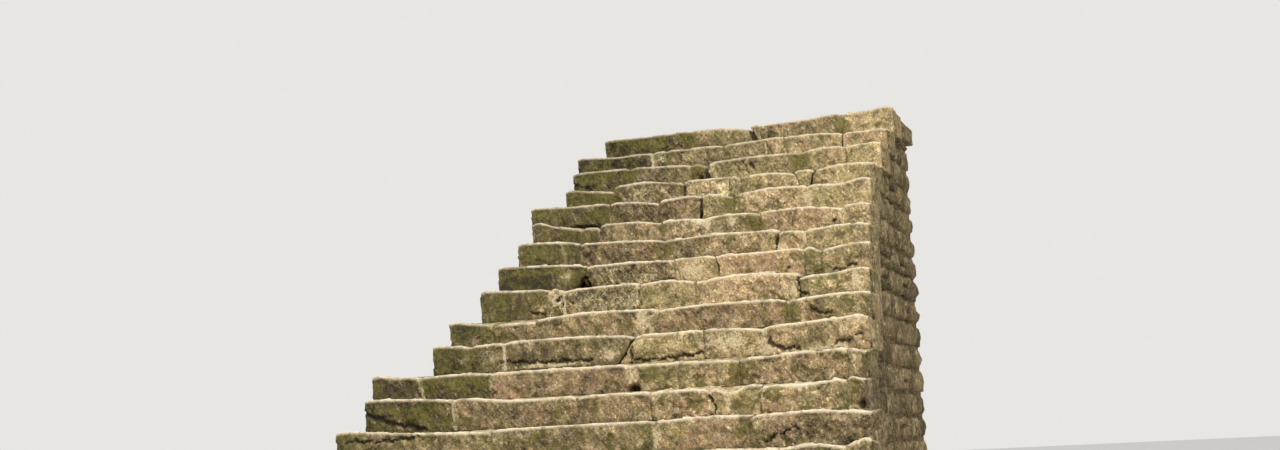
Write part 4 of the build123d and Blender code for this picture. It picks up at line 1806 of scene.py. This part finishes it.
def aim_camera(settings):
    """The photograph's viewing angle, from the camera's pitch, yaw and roll."""
    ahead = Vector((-math.sin(settings.yaw) * math.cos(settings.pitch),
                    math.cos(settings.yaw) * math.cos(settings.pitch), math.sin(settings.pitch)))
    level = Vector((math.cos(settings.yaw), math.sin(settings.yaw), 0.0))
    upright = level.cross(ahead)
    right = level * math.cos(settings.roll) + upright * math.sin(settings.roll)
    up = upright * math.cos(settings.roll) - level * math.sin(settings.roll)
    lens = bpy.data.cameras.new("camera")
    lens.lens = settings.lens
    camera = place_in_scene("camera", lens)
    turn = Matrix((right, up, -ahead)).transposed().to_4x4()
    camera.matrix_world = Matrix.Translation(settings.camera_place) @ turn
    bpy.context.scene.camera = camera


class SetStage(bpy.types.Operator):
    """Set the floor, the light and the camera"""

    bl_idname = "flight.set_stage"
    bl_label = "Set stage"

    def execute(self, context):
        settings = context.scene.flight_stage
        floor_under(settings)
        light_up(settings)
        aim_camera(settings)
        context.scene.view_settings.view_transform = "Standard"
        return {"FINISHED"}


class FlightPanel(bpy.types.Panel):
    """Buttons and settings of the flight"""

    bl_idname = "VIEW3D_PT_stone_flight"
    bl_label = "Stone flight"
    bl_space_type = "VIEW_3D"
    bl_region_type = "UI"
    bl_category = "Stone flight"

    def draw(self, context):
        for operator in OPERATORS:
            self.layout.operator(operator.bl_idname)
        for label in SETTINGS:
            group = getattr(context.scene, label)
            box = self.layout.box()
            for name in group.__annotations__:
                box.prop(group, name)


OPERATORS = (DressRows, FillJoints, DressLanding, LaySideWalls, LayBackWall, FinishCore, SetStage)
SETTINGS = {
    "flight_dressing": DressingSettings,
    "flight_walling": WallingSettings,
    "flight_colours": ColourSettings,
    "flight_stage": StageSettings,
}


def register():
    for group in (*SETTINGS.values(), *OPERATORS, FlightPanel):
        bpy.utils.register_class(group)
    for label, group in SETTINGS.items():
        setattr(bpy.types.Scene, label, PointerProperty(type=group))


def unregister():
    for label in SETTINGS:
        delattr(bpy.types.Scene, label)
    for group in reversed((*SETTINGS.values(), *OPERATORS, FlightPanel)):
        bpy.utils.unregister_class(group)


def main():
    register()
    bpy.ops.flight.dress_rows()
    bpy.ops.flight.fill_joints()
    bpy.ops.flight.dress_landing()
    bpy.ops.flight.lay_side_walls()
    bpy.ops.flight.lay_back_wall()
    bpy.ops.flight.finish_core()
    bpy.ops.flight.set_stage()


if __name__ == "__main__":
    main()
